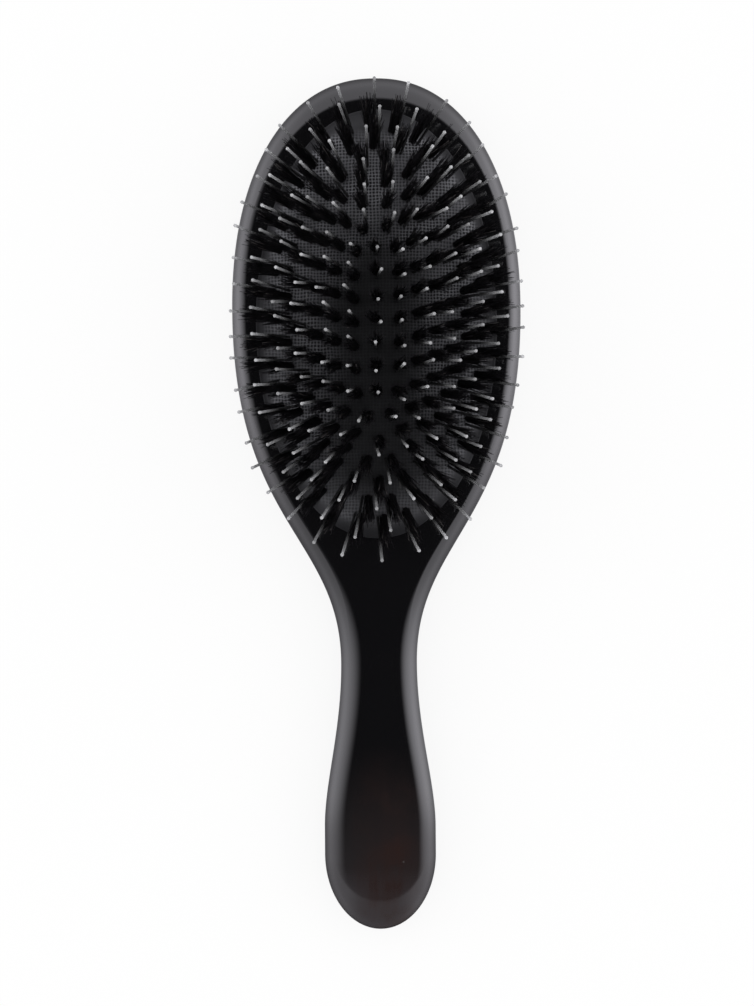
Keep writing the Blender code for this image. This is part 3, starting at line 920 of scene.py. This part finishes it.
# %% [markdown]
# ## Rubber
#
# The cushion is moulded rubber, matt and dark grey. Painted shade darkens it: most along a streak down
# its middle, where the tufts crowd, and towards the handle, and again on the flanks and at the very edge,
# so that its grey shows best between. That could be painted on by hand, but painting needs an image.
# Here each of them is a fade over the same few shares of the cushion's oval: how far out a point lies,
# and how far towards the handle.

# %% Painted shade on the rubber
# Painted shade: each level below is how much of the rubber's own grey shows
# Each fade: from where to where, and the two levels between which it goes
STREAK_RUNS_ON = (0.62, 0.98, 0.0, 0.9)
STREAK_SHADING = (0.20, 0.68, 0.25, 1.0)
HANDLE_END_SHADING = (0.88, 0.98, 1.0, 0.55)
FLANK_SHADING = (0.78, 0.98, 1.0, 0.15)
RIM_SHADING = (0.94, 1.0, 1.0, 0.50)


def places_on_cushion(tree, place):
    """A point's shares of the oval, its distance out, its way to the handle and from the streak."""
    middle = vector_maths(tree, "SUBTRACT", place, tuple(CUSHION_MOUTH))
    to_share = (1 / CUSHION_HALF_WIDTH, 1 / CUSHION_HALF_LENGTH, 0)
    oval = vector_maths(tree, "MULTIPLY", middle, to_share)
    shares = add_node(tree, "ShaderNodeSeparateXYZ", Vector=oval).outputs
    to_handle = maths(tree, "MULTIPLY", shares["Y"], -1)
    lengthways = maths(tree, "MAXIMUM", shares["Y"], ramp_between(tree, to_handle, *STREAK_RUNS_ON))
    from_streak = length_of(tree, shares["X"], lengthways)
    return shares, vector_maths(tree, "LENGTH", oval), to_handle, from_streak


def rubber_unshaded_share(tree, shares, outwards, to_handle, from_streak):
    """How much of its own grey the rubber shows through the painted shade: least on the streak, at the
    flanks and at the very edge.
    """
    from_middle = maths(tree, "ABSOLUTE", shares["X"])
    return product(tree, ramp_between(tree, from_streak, *STREAK_SHADING),
                   ramp_between(tree, to_handle, *HANDLE_END_SHADING),
                   ramp_between(tree, from_middle, *FLANK_SHADING),
                   ramp_between(tree, outwards, *RIM_SHADING))


print("levels of grey on the streak and beside it:", STREAK_SHADING[2:])

# %% [markdown]
# The rubber was pressed against cloth in its mould, so it carries a plain weave of about a millimetre.
# Displacing the surface would need millions of points for threads as fine as these. So the weave is
# relief, with painted light and shade in its colour: the threads are painted paler where they stand up, as
# a painted highlight, and the holes between them are painted black, as painted shade. A print from cloth
# is never quite straight or even, so a noise pulls the pattern, and these fades say how clearly it has
# printed.

# %% Print of the cloth
WEAVE_PITCH = 0.00092
WEAVE_PULL = (0.0009, 0.0009, 0)
PULL_SCALE = 260.0
# Each fade: from where to where, and the two levels between which it goes
EDGE_PRINT = (0.93, 0.99, 1.0, 0.0)
HEAD_PRINT = (0.84, 0.92, 1.0, 0.0)
STREAK_PRINT = (0.12, 0.50, 0.35, 1.0)
HANDLE_PRINT = (0.58, 0.80, 1.0, 0.35)


def weave_strength(tree, place, shares, outwards, to_handle, from_streak):
    """How clearly the cloth has printed: patchy, faint along the streak, and gone at the edge."""
    patches = use_group(tree, mottle_group, Place=place, Scale=85.0, Low=0.45, High=1.0)["Value"]
    return product(tree, patches, ramp_between(tree, outwards, *EDGE_PRINT),
                   ramp_between(tree, shares["Y"], *HEAD_PRINT),
                   ramp_between(tree, from_streak, *STREAK_PRINT),
                   ramp_between(tree, to_handle, *HANDLE_PRINT))


def printed_cloth(tree, place):
    """The weave on coordinates that a soft noise pulls about: place + pull*noise."""
    stray = add_node(tree, "ShaderNodeTexNoise", Vector=place, Scale=PULL_SCALE, Detail=1.0)
    pulled = vector_maths(tree, "MULTIPLY_ADD", stray.outputs["Color"], WEAVE_PULL, place)
    return use_group(tree, weave_group, Place=pulled, Pitch=WEAVE_PITCH)


print("threads across the cushion:", round(2 * CUSHION_HALF_WIDTH / WEAVE_PITCH))

# %% [markdown]
# The same rubber makes the dome and the bead below it, but only the dome was pressed against cloth. Two
# materials written out apart would drift apart with every change. So one function makes both, and the
# print can be left out. Lint clings to rubber more than to lacquer.

# %% Rubber finishes
RUBBER_TONES = ((0.026, 0.026, 0.029), (0.042, 0.042, 0.047))
RUBBER_SHADE = (0.003, 0.003, 0.004)
# Painted highlight for the raised threads of the weave
THREAD_HIGHLIGHT_GREY = (0.215, 0.215, 0.235)
LINT = (0.22, 0.21, 0.20)
LINT_ON_COLOUR = 0.4
WEAVE_DEPTH = 0.00016
SKIN_GRAIN_DEPTH = 0.00002
SKIN_GRAIN_SHARE = 0.15


def rubber_finish(name, woven):
    """Matt black rubber, with or without the print of the cloth."""
    material, tree, surface, place = start_finish(name, IOR=1.5, Specular_IOR_Level=0.22)
    spots = places_on_cushion(tree, place)
    tone = use_group(tree, mottle_group, Place=place, Scale=70.0)["Value"]
    colour = mix_colours(tree, tone, *RUBBER_TONES)
    relief = use_group(tree, mottle_group, Place=place, Scale=1500.0)["Value"]
    if woven:
        cloth = printed_cloth(tree, place)
        crisp = weave_strength(tree, place, *spots)
        # Painted highlight on the raised threads, and painted shade in the holes between them
        colour = mix_colours(tree, maths(tree, "MULTIPLY", cloth["Height"], crisp), colour, THREAD_HIGHLIGHT_GREY)
        colour = mix_colours(tree, maths(tree, "MULTIPLY", cloth["Hole"], crisp), colour, RUBBER_SHADE)
        relief = maths(tree, "MULTIPLY_ADD", relief, SKIN_GRAIN_SHARE, cloth["Height"])
        relief = maths(tree, "MULTIPLY", relief, crisp)
    specks = use_group(tree, dust_group, Place=place, Scale=520.0, Amount=0.03)["Mask"]
    colour = mix_colours(tree, maths(tree, "MULTIPLY", specks, LINT_ON_COLOUR), colour, LINT)
    # Painted shade: the rubber goes to near black on the streak, towards the handle, on the flanks and at
    # the very edge
    colour = mix_colours(tree, rubber_unshaded_share(tree, *spots), RUBBER_SHADE, colour)
    rough = use_group(tree, mottle_group, Place=place, Scale=160.0, Low=0.52, High=0.70)["Value"]
    tree.links.new(colour, surface.inputs["Base Color"])
    tree.links.new(rough, surface.inputs["Roughness"])
    add_bump(tree, surface, relief, WEAVE_DEPTH if woven else SKIN_GRAIN_DEPTH)
    return material


woven_rubber = rubber_finish("woven_black_rubber", True)
plain_rubber = rubber_finish("plain_black_rubber", False)
print("rubber finishes:", woven_rubber.name, plain_rubber.name)

# %% [markdown]
# ## Rubber cushion
#
# On the real brush the cushion is one skin that traps air in the pocket. A pillow of cloth would be
# simulated, but moulded rubber keeps the shape of its mould, so the dome is drawn from its formula.
# Every tuft pulls the rubber down a little where it goes in, which makes the dimples: each is a
# bell-shaped dip exp(-d^2/r^2) at a foot.

# %% Top of the dome
DOME_RINGS = 76
DOME_POINTS = 400
DIMPLE_DEPTH = 0.00042
DIMPLE_RADIUS = 0.00125
PIN_TO_BOAR = 0.0021

turns = even_turns(1.0, DOME_POINTS)
dome = np.stack([dome_points(share, turns) for share in np.linspace(0, 1, DOME_RINGS)])
roots = [feet + side * along * PIN_TO_BOAR / 2 for feet, up, along in rows for side in (-1, 1)]
roots = np.concatenate(roots) - CUSHION_MOUTH
for ring in dome:
    away = ((ring[:, None, :2] - roots[None, :, :2]) ** 2).sum(axis=-1)
    ring[:, 2] -= DIMPLE_DEPTH * np.exp(-away / DIMPLE_RADIUS ** 2).max(axis=1)
print("dimples:", len(roots))

# %% [markdown]
# The dome meets the wood in a round shoulder. Below that the skin turns back under itself, at about even
# thickness. A single sheet would look the same from outside, but it would have no inside for the export,
# and rubber is a solid. So the shell is closed: top, shoulder, lower edge and underside are rings of one
# net.

# %% Cushion as a closed shell
SKIN_THICKNESS = 0.0020
RIM_BULGE = 0.0007
RIM_STEPS = 8
UNDERSIDE_RINGS = 12
UNDERSIDE_EDGE_SHARE = 0.955
UNDERSIDE_SHRINK = (0.96, 0.977, 1.0)

bulge = [edge_ring(-RIM_BULGE * math.sin(a), CUSHION_SHOULDER * (0.5 + 0.5 * math.cos(a)), DOME_POINTS)
         for a in np.linspace(0, math.pi, RIM_STEPS + 1)[1:]]
lower_edge = [edge_ring(SKIN_THICKNESS, 0.0, DOME_POINTS)]
underside = [dome_points(share, turns) * UNDERSIDE_SHRINK - (0, 0, SKIN_THICKNESS)
             for share in np.linspace(UNDERSIDE_EDGE_SHARE, 0, UNDERSIDE_RINGS)]
shell = np.concatenate((dome, np.stack(bulge + lower_edge + underside)))
shell = shell + CUSHION_MOUTH + (0, 0, GAP)
shell_faces = ring_faces(len(shell), DOME_POINTS)
cushion = add_piece("rubber_cushion", shell, shell_faces, woven_rubber, "brush_body")
print("cushion triangles:", triangles_in(cushion))

# %% [markdown]
# A small breather hole near the handle lets the air out when the brush is pressed. Drawing it into the
# rings would bend the whole net of faces round it, so it is cut with a Boolean, which is applied
# straight away.

# %% Breather hole
VENT_RADIUS = 0.0007
VENT_POINTS = 24
DRILL_ENDS = (-0.002, 0.012)

vent_y = MIDDLE_ROW_HALF_LENGTH + OUTER_ROW_WIDTH_SHARE * (CUSHION_HALF_LENGTH - MIDDLE_ROW_HALF_LENGTH)
circle = np.linspace(0, 2 * math.pi, VENT_POINTS, endpoint=False)
vent_plan = np.stack((np.cos(circle), np.sin(circle)), axis=1) * VENT_RADIUS
drill_points = np.stack([with_height(vent_plan, z) for z in DRILL_ENDS]) + CUSHION_MOUTH
drill_points = drill_points + (-VENT_ASIDE, -vent_y, 0)
drill_caps = [list(range(VENT_POINTS))[::-1], list(range(VENT_POINTS, 2 * VENT_POINTS))]
drill_mesh = bpy.data.meshes.new("drill")
drill_mesh.from_pydata(drill_points.reshape(-1, 3).tolist(), [], ring_faces(2, VENT_POINTS) + drill_caps)
drill = bpy.data.objects.new("drill", drill_mesh)
bpy.context.scene.collection.objects.link(drill)
cut = cushion.modifiers.new("breather_hole", "BOOLEAN")
cut.operation = "DIFFERENCE"
cut.solver = "EXACT"
cut.object = drill
evaluated = cushion.evaluated_get(bpy.context.evaluated_depsgraph_get())
drilled = bpy.data.meshes.new_from_object(evaluated)
cushion.modifiers.clear()
cushion.data = drilled
bpy.data.objects.remove(drill)
print("after the hole:", triangles_in(cushion), "triangles")

# %% [markdown]
# Below the shoulder the skin narrows to a neck and ends in a bead that snaps into the groove of the
# pocket. It could be part of the dome's shell, but it stays still when the dome goes down. So it is a
# piece of its own, a profile carried round the oval, and reaches up behind the dome's lower edge.

# %% Bead of the cushion
BEAD_POINTS = 200
BEAD_STEPS = 8
BEHIND_DOME_HEIGHT = 0.0006
BEHIND_DOME_INSETS = (0.0016, 0.0004)
BEAD_INNER_INSET = 0.0022

bead_top = -GROOVE_DROP - GAP
bead_floor = groove_floor + GAP
bead_reach = GROOVE_REACH - GAP
bead_middle = (bead_top + bead_floor) / 2
half_bead = (bead_top - bead_floor) / 2
round_bead = [(-bead_reach + half_bead * (1 - math.sin(a)), bead_middle + half_bead * math.cos(a))
              for a in np.linspace(0, math.pi, BEAD_STEPS + 1)]
bead_profile = [(inset, BEHIND_DOME_HEIGHT) for inset in BEHIND_DOME_INSETS]
bead_profile += [(GAP / 2, 0.0), (GAP / 2, bead_top)] + round_bead
bead_profile += [(GAP / 2, bead_floor), (BEAD_INNER_INSET, bead_floor), (BEAD_INNER_INSET, 0.0)]
bead_rings = np.stack([edge_ring(inset, z, BEAD_POINTS) for inset, z in bead_profile]) + CUSHION_MOUTH
last = (len(bead_rings) - 1) * BEAD_POINTS
after = [(k + 1) % BEAD_POINTS for k in range(BEAD_POINTS)]
closing = [[last + k, last + after[k], after[k], k] for k in range(BEAD_POINTS)]
bead_faces = ring_faces(len(bead_rings), BEAD_POINTS) + closing
bead = add_piece("cushion_bead", bead_rings, bead_faces, plain_rubber, "brush_body")
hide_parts("cushion_rim")
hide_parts("cushion_rim")
print("bead triangles:", triangles_in(bead))

# %% [markdown]
# ## Bundles of strands
#
# Bristles and pins are both many thin tubes. Blender's hair would give them quickly, but hair is no
# mesh, and other programs would lose it. So one helper builds real tubes for both. Its input is an array
# of rings: for each strand, for each station along it, the points round it. It keeps two attributes that
# the finish can read: how far along each point is, from root 0 to tip 1, and a tone of its own for each
# strand.

# %% Helper for strands
def strand_faces(strands, stations, sides):
    """The sides of all tubes, station by station, then their root ends and their tip ends."""
    one = np.array(ring_faces(stations, sides))
    start = np.arange(strands)[:, None, None] * stations * sides
    end = np.arange(sides)
    faces = (one[None] + start).reshape(-1, 4).tolist()
    faces += (end[::-1][None] + start[:, 0]).tolist()
    faces += (end[None] + (stations - 1) * sides + start[:, 0]).tolist()
    return faces


def add_strands(name, rings, shares, tones, finish, body, end_finish=None, end_start=0):
    """Tubes closed at both ends, from rings of the shape (strands, stations, sides, 3).

    From the station end_start on, and on the tip's end, the tubes may wear another finish.
    """
    strands, stations, sides = rings.shape[:3]
    faces = strand_faces(strands, stations, sides)
    piece = add_piece(name, rings, faces, finish, body, welded=False)
    if end_finish:
        piece.data.materials.append(end_finish)
        station = np.arange(stations - 1)[None, :, None]
        station = np.broadcast_to(station, (strands, stations - 1, sides)).ravel()
        at_end = np.concatenate((station >= end_start, np.zeros(strands, bool), np.ones(strands, bool)))
        piece.data.polygons.foreach_set("material_index", at_end.astype(np.int32))
    for label, values in (("along", shares[None, :, None]), ("tone", tones[:, None, None])):
        layer = piece.data.attributes.new(label, "FLOAT", "POINT")
        spread = np.broadcast_to(values, (strands, stations, sides))
        layer.data.foreach_set("value", np.ascontiguousarray(spread, np.float32).ravel())
    return piece


print("faces of one tube with 4 stations and 3 sides:", len(strand_faces(1, 4, 3)))

# %% [markdown]
# ## Boar bristle
#
# A tuft is several dozen boar hairs folded into one hole. The hair is black all through with a slight
# sheen. A few hairs in a hundred are painted grey towards the tip, as a painted highlight where the hair
# ends catch the light. One black for all would melt the tuft into a lump, so each hair gets its own black
# from the tone of its strand.

# %% Boar finish
BOAR_BLACKS = ((0.0045, 0.0041, 0.0056), (0.0130, 0.0118, 0.0132))
# Painted highlight: a few hairs are painted grey towards the tip
BOAR_TIP_HIGHLIGHT = (0.13, 0.12, 0.12)
HIGHLIGHTED_HAIRS = (0.955, 0.985)
HIGHLIGHT_TOWARDS_TIP = (0.35, 0.9)
BOAR_GRAIN_DEPTH = 0.000008


def strand_attributes(tree):
    """How far along its strand a point is, and the strand's own tone."""
    return [add_node(tree, "ShaderNodeAttribute", {"attribute_name": label}).outputs["Fac"]
            for label in ("along", "tone")]


boar, tree, surface, place = start_finish("black_boar", IOR=1.5, Specular_IOR_Level=0.16)
height_along, own_tone = strand_attributes(tree)
black = mix_colours(tree, own_tone, *BOAR_BLACKS)
# Painted highlight: grey towards the tip on a few hairs
highlight_share = maths(tree, "MULTIPLY", ramp_between(tree, own_tone, *HIGHLIGHTED_HAIRS),
                   ramp_between(tree, height_along, *HIGHLIGHT_TOWARDS_TIP))
tree.links.new(mix_colours(tree, highlight_share, black, BOAR_TIP_HIGHLIGHT), surface.inputs["Base Color"])
rough = use_group(tree, mottle_group, Place=place, Scale=2200.0, Low=0.38, High=0.60)["Value"]
tree.links.new(rough, surface.inputs["Roughness"])
scales = use_group(tree, mottle_group, Place=place, Scale=5200.0)["Value"]
add_bump(tree, surface, scales, BOAR_GRAIN_DEPTH)
print("boar nodes:", len(tree.nodes))

# %% [markdown]
# The hairs leave their hole tightly packed, spread a little, each bows its own way, and their ends are
# uneven. One tuft could be made once and copied, but copies side by side are seen at once. So every hair
# is different, and all hairs of a row are worked out together, as one array.

# %% Shape of the hairs
BOAR_LENGTH = 0.0150
BOAR_SHORTEST_SHARE = 0.56
BOAR_LONGEST_SHARE = 0.98
BOAR_LENGTH_SKEW = 0.6
BOAR_FOOT_RADIUS = 0.00105
BOAR_TIP_RADIUS = 0.00160
HAIRS_PER_TUFT = 70
HAIR_RADIUS = 0.000135
HAIR_TAPER = 0.45
HAIR_BOW = 0.00100
HAIR_STATIONS = 4
HAIR_SIDES = 3
ROOT_DEPTH = 0.0008
TUFT_LEAN = 0.035


def spokes(turn, along, across):
    """Directions square to a tuft: cos * along + sin * across."""
    return np.cos(turn)[..., None] * along[:, None] + np.sin(turn)[..., None] * across[:, None]


def hair_rings(feet, up, along, chance):
    """Rings of every hair: root + up*height + spread*t + bow*t^2, with t from the root to the tip."""
    tufts = len(feet)
    across = np.cross(up, along)
    lean = chance.normal(size=(tufts, 1)) * along + chance.normal(size=(tufts, 1)) * across
    up = unit(up + TUFT_LEAN * lean)
    shape = (tufts, HAIRS_PER_TUFT)
    out = np.sqrt(chance.random(shape))
    spoke = spokes(chance.random(shape) * 2 * math.pi, along, across)
    root = feet[:, None] + spoke * (out * BOAR_FOOT_RADIUS)[..., None]
    spread = spoke * (out * (BOAR_TIP_RADIUS - BOAR_FOOT_RADIUS))[..., None]
    longer = (BOAR_LONGEST_SHARE - BOAR_SHORTEST_SHARE) * chance.random(shape) ** BOAR_LENGTH_SKEW
    reach = BOAR_LENGTH * (BOAR_SHORTEST_SHARE + longer)
    bow = spokes(chance.random(shape) * 2 * math.pi, along, across) * HAIR_BOW
    t = np.linspace(0, 1, HAIR_STATIONS)[None, None, :, None]
    height = -ROOT_DEPTH + (reach[..., None, None] + ROOT_DEPTH) * t
    spine = (root[:, :, None] + up[:, None, None] * height + spread[:, :, None] * t
             + bow[:, :, None] * t ** 2)
    radius = HAIR_RADIUS * (1 - HAIR_TAPER * t[..., 0])[..., None]
    side_turn = np.arange(HAIR_SIDES) * 2 * math.pi / HAIR_SIDES
    ring = (np.cos(side_turn)[:, None] * along[:, None, None, None, :]
            + np.sin(side_turn)[:, None] * across[:, None, None, None, :])
    rings = spine[:, :, :, None] + radius[..., None] * ring
    return rings.reshape(-1, HAIR_STATIONS, HAIR_SIDES, 3)


print("hairs in the brush:", HAIRS_PER_TUFT * sum(len(feet) for feet, up, along in rows))

# %% [markdown]
# When the cushion is pressed, each row of tufts goes down by its own share. The tufts could all be one
# piece, but then they would move as one. So each row is a piece and rides on the body of its row. The
# random numbers start from a set seed for each row, so the same tufts come out every time.

# %% Boar tufts, row by row
BOAR_ASIDE = 0.00060
BOAR_SEED = 100

total = 0
stations = np.linspace(0, 1, HAIR_STATIONS)
for row, (feet, up, along) in enumerate(rows):
    chance = np.random.default_rng(BOAR_SEED + row)
    rings = hair_rings(feet + along * BOAR_ASIDE, up, along, chance)
    tones = chance.random(len(rings))
    tufts = add_strands(f"boar_tufts_{row}", rings, stations, tones, boar, f"row_{row}")
    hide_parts(f"tuft_row_{row}")
    total += triangles_in(tufts)
print("boar triangles:", total)

# %% [markdown]
# ## Nylon pins
#
# Each pin is drawn from smoky clear nylon, and its end is melted into a ball. Fully clear glass would
# vanish over the black rubber, and white paint would look like bone. So the shaft is mostly clear, and its
# colour is painted paler towards the tip, as painted light that the nylon carries up to its end. The ball
# is milky, and its pale colour is partly a painted highlight. The index is set low, because shafts as thin
# as these nearly vanish against white paper. Each pin has its own tone here too, so some balls get a
# brighter painted highlight than others.

# %% Nylon finishes
NYLON_INDEX = 1.25
NYLON_BLUE = 1.03
NYLON_GRAIN_DEPTH = 0.000006
# Painted light towards the tip: the share of it that is even, the rest patchy
EVEN_PAINTED_LIGHT_SHARE = 0.7


def nylon_grey(tone):
    """A grey with the slight blue of nylon."""
    return (tone, tone, NYLON_BLUE * tone)


def nylon_finish(name, clearness, root_tones, lit_tip_tones, tip_start, tip_end):
    """Nylon whose colour is painted paler, as painted light, from its root tones to its lit tip tones
    between two shares of the length.
    """
    material, tree, surface, place = start_finish(
        name, IOR=NYLON_INDEX, Transmission_Weight=clearness, Specular_IOR_Level=0.5)
    height_along, own_tone = strand_attributes(tree)
    clouding = use_group(tree, mottle_group, Place=place, Scale=900.0)["Value"]
    patchy = maths(tree, "MULTIPLY_ADD", clouding, 1 - EVEN_PAINTED_LIGHT_SHARE, EVEN_PAINTED_LIGHT_SHARE)
    # Painted light: the colour pales towards the tip
    painted_light_along = maths(tree, "MULTIPLY", ramp_between(tree, height_along, tip_start, tip_end), patchy)
    root = mix_colours(tree, own_tone, nylon_grey(root_tones[0]), nylon_grey(root_tones[1]))
    tip = mix_colours(tree, own_tone, nylon_grey(lit_tip_tones[0]), nylon_grey(lit_tip_tones[1]))
    tree.links.new(mix_colours(tree, painted_light_along, root, tip), surface.inputs["Base Color"])
    rough = use_group(tree, mottle_group, Place=place, Scale=1500.0, Low=0.14, High=0.26)["Value"]
    tree.links.new(rough, surface.inputs["Roughness"])
    fine_lines = use_group(tree, grain_group, Place=place, Scale=2500.0, Draw=1.0)["Value"]
    add_bump(tree, surface, fine_lines, NYLON_GRAIN_DEPTH)
    return material


# Painted light on the upper shaft, and a painted highlight in the milky ball's pale colour
nylon = nylon_finish("clear_nylon", 0.72, (0.05, 0.10), (0.50, 0.84), 0.46, 0.97)
milky_nylon = nylon_finish("milky_nylon", 0.58, (0.42, 0.75), (0.54, 0.97), 0.960, 0.990)
print("nylon finishes:", nylon.name, milky_nylon.name)

# %% [markdown]
# The shape of a pin is a shaft and a ball, turned about one axis. A sphere on a cylinder would do, but
# would cross the shaft's end. Here both are one profile, whose last rings are the ball. Pins have a few
# degrees of stray lean, because the rubber holds them loosely, but none stands out past the widest place
# of the brush.

# %% Shape of the pins
PIN_LENGTH = 0.0220
PIN_RADIUS = 0.00038
BALL_RADIUS = 0.00050
BALL_LENGTH = 0.0012
BALL_ANGLES = (-52, -20, 12, 45, 76)
MID_SHAFT_SHARE = 0.45
SHAFT_STATIONS = 3
NECK_OVERLAP = 0.0002
PIN_SIDES = 8
PIN_LEAN = math.radians(2.2)
PIN_MOST_LEAN = 1.8
PIN_SHORTEST_SHARE = 0.975
HALF_WIDTH_WITH_PINS = 0.0409

ball_angles = np.radians(BALL_ANGLES)
neck_height = PIN_LENGTH - BALL_LENGTH
shaft_heights = (-ROOT_DEPTH, MID_SHAFT_SHARE * neck_height, neck_height - NECK_OVERLAP)
ball_heights = PIN_LENGTH - BALL_LENGTH / 2 + BALL_LENGTH / 2 * np.sin(ball_angles)
heights = np.concatenate((shaft_heights, ball_heights))
radii = np.concatenate(([PIN_RADIUS] * SHAFT_STATIONS, BALL_RADIUS * np.cos(ball_angles)))


def pin_rings(feet, up, along, chance):
    """Rings of every pin: foot + axis * height + radius * (cos * side_x + sin * side_y)."""
    pins = len(feet)
    across = np.cross(up, along)
    lean = chance.normal(size=(pins, 2)).clip(-PIN_MOST_LEAN, PIN_MOST_LEAN) * PIN_LEAN
    axis = unit(up + lean[:, :1] * along + lean[:, 1:] * across)
    beyond = np.abs(feet[:, 0] + PIN_LENGTH * axis[:, 0]) + BALL_RADIUS - HALF_WIDTH_WITH_PINS
    axis[:, 0] -= np.sign(axis[:, 0]) * beyond.clip(0) / PIN_LENGTH
    stretch = (PIN_SHORTEST_SHARE + (1 - PIN_SHORTEST_SHARE) * chance.random(pins))[:, None, None, None]
    turn = np.arange(PIN_SIDES) * 2 * math.pi / PIN_SIDES
    side_x = unit(np.cross(axis, across))
    side_y = np.cross(axis, side_x)
    ring = np.cos(turn)[:, None] * side_x[:, None, None] + np.sin(turn)[:, None] * side_y[:, None, None]
    lift = heights[None, :, None, None] * stretch * axis[:, None, None, :]
    return feet[:, None, None, :] + lift + radii[None, :, None, None] * ring


print("stations of a pin in mm:", (1000 * heights).round(1).tolist())

# %% [markdown]
# Each tuft has one pin, which stands in a hole of its own beside the hairs. It could stand in the middle
# of the tuft, as on some brushes, but here the pins are clearly next to their tufts along the row. They
# are rows like the tufts, for the same reason: each row goes down with its own part of the dome.

# %% Pins, row by row
PIN_SEED = 200

total = 0
stations = heights.clip(0) / PIN_LENGTH
for row, (feet, up, along) in enumerate(rows):
    chance = np.random.default_rng(PIN_SEED + row)
    rings = pin_rings(feet - along * PIN_TO_BOAR / 2, up, along, chance)
    tones = chance.random(len(rings))
    pins = add_strands(f"nylon_pins_{row}", rings, stations, tones, nylon, f"row_{row}",
                       end_finish=milky_nylon, end_start=SHAFT_STATIONS - 1)
    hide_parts(f"tuft_row_{row}")
    total += triangles_in(pins)
print("pin triangles:", total)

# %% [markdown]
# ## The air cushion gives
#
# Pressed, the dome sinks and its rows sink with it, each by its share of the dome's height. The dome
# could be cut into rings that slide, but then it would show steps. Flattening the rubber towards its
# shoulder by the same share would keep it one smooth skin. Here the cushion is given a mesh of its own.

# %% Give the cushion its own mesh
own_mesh(cushion)
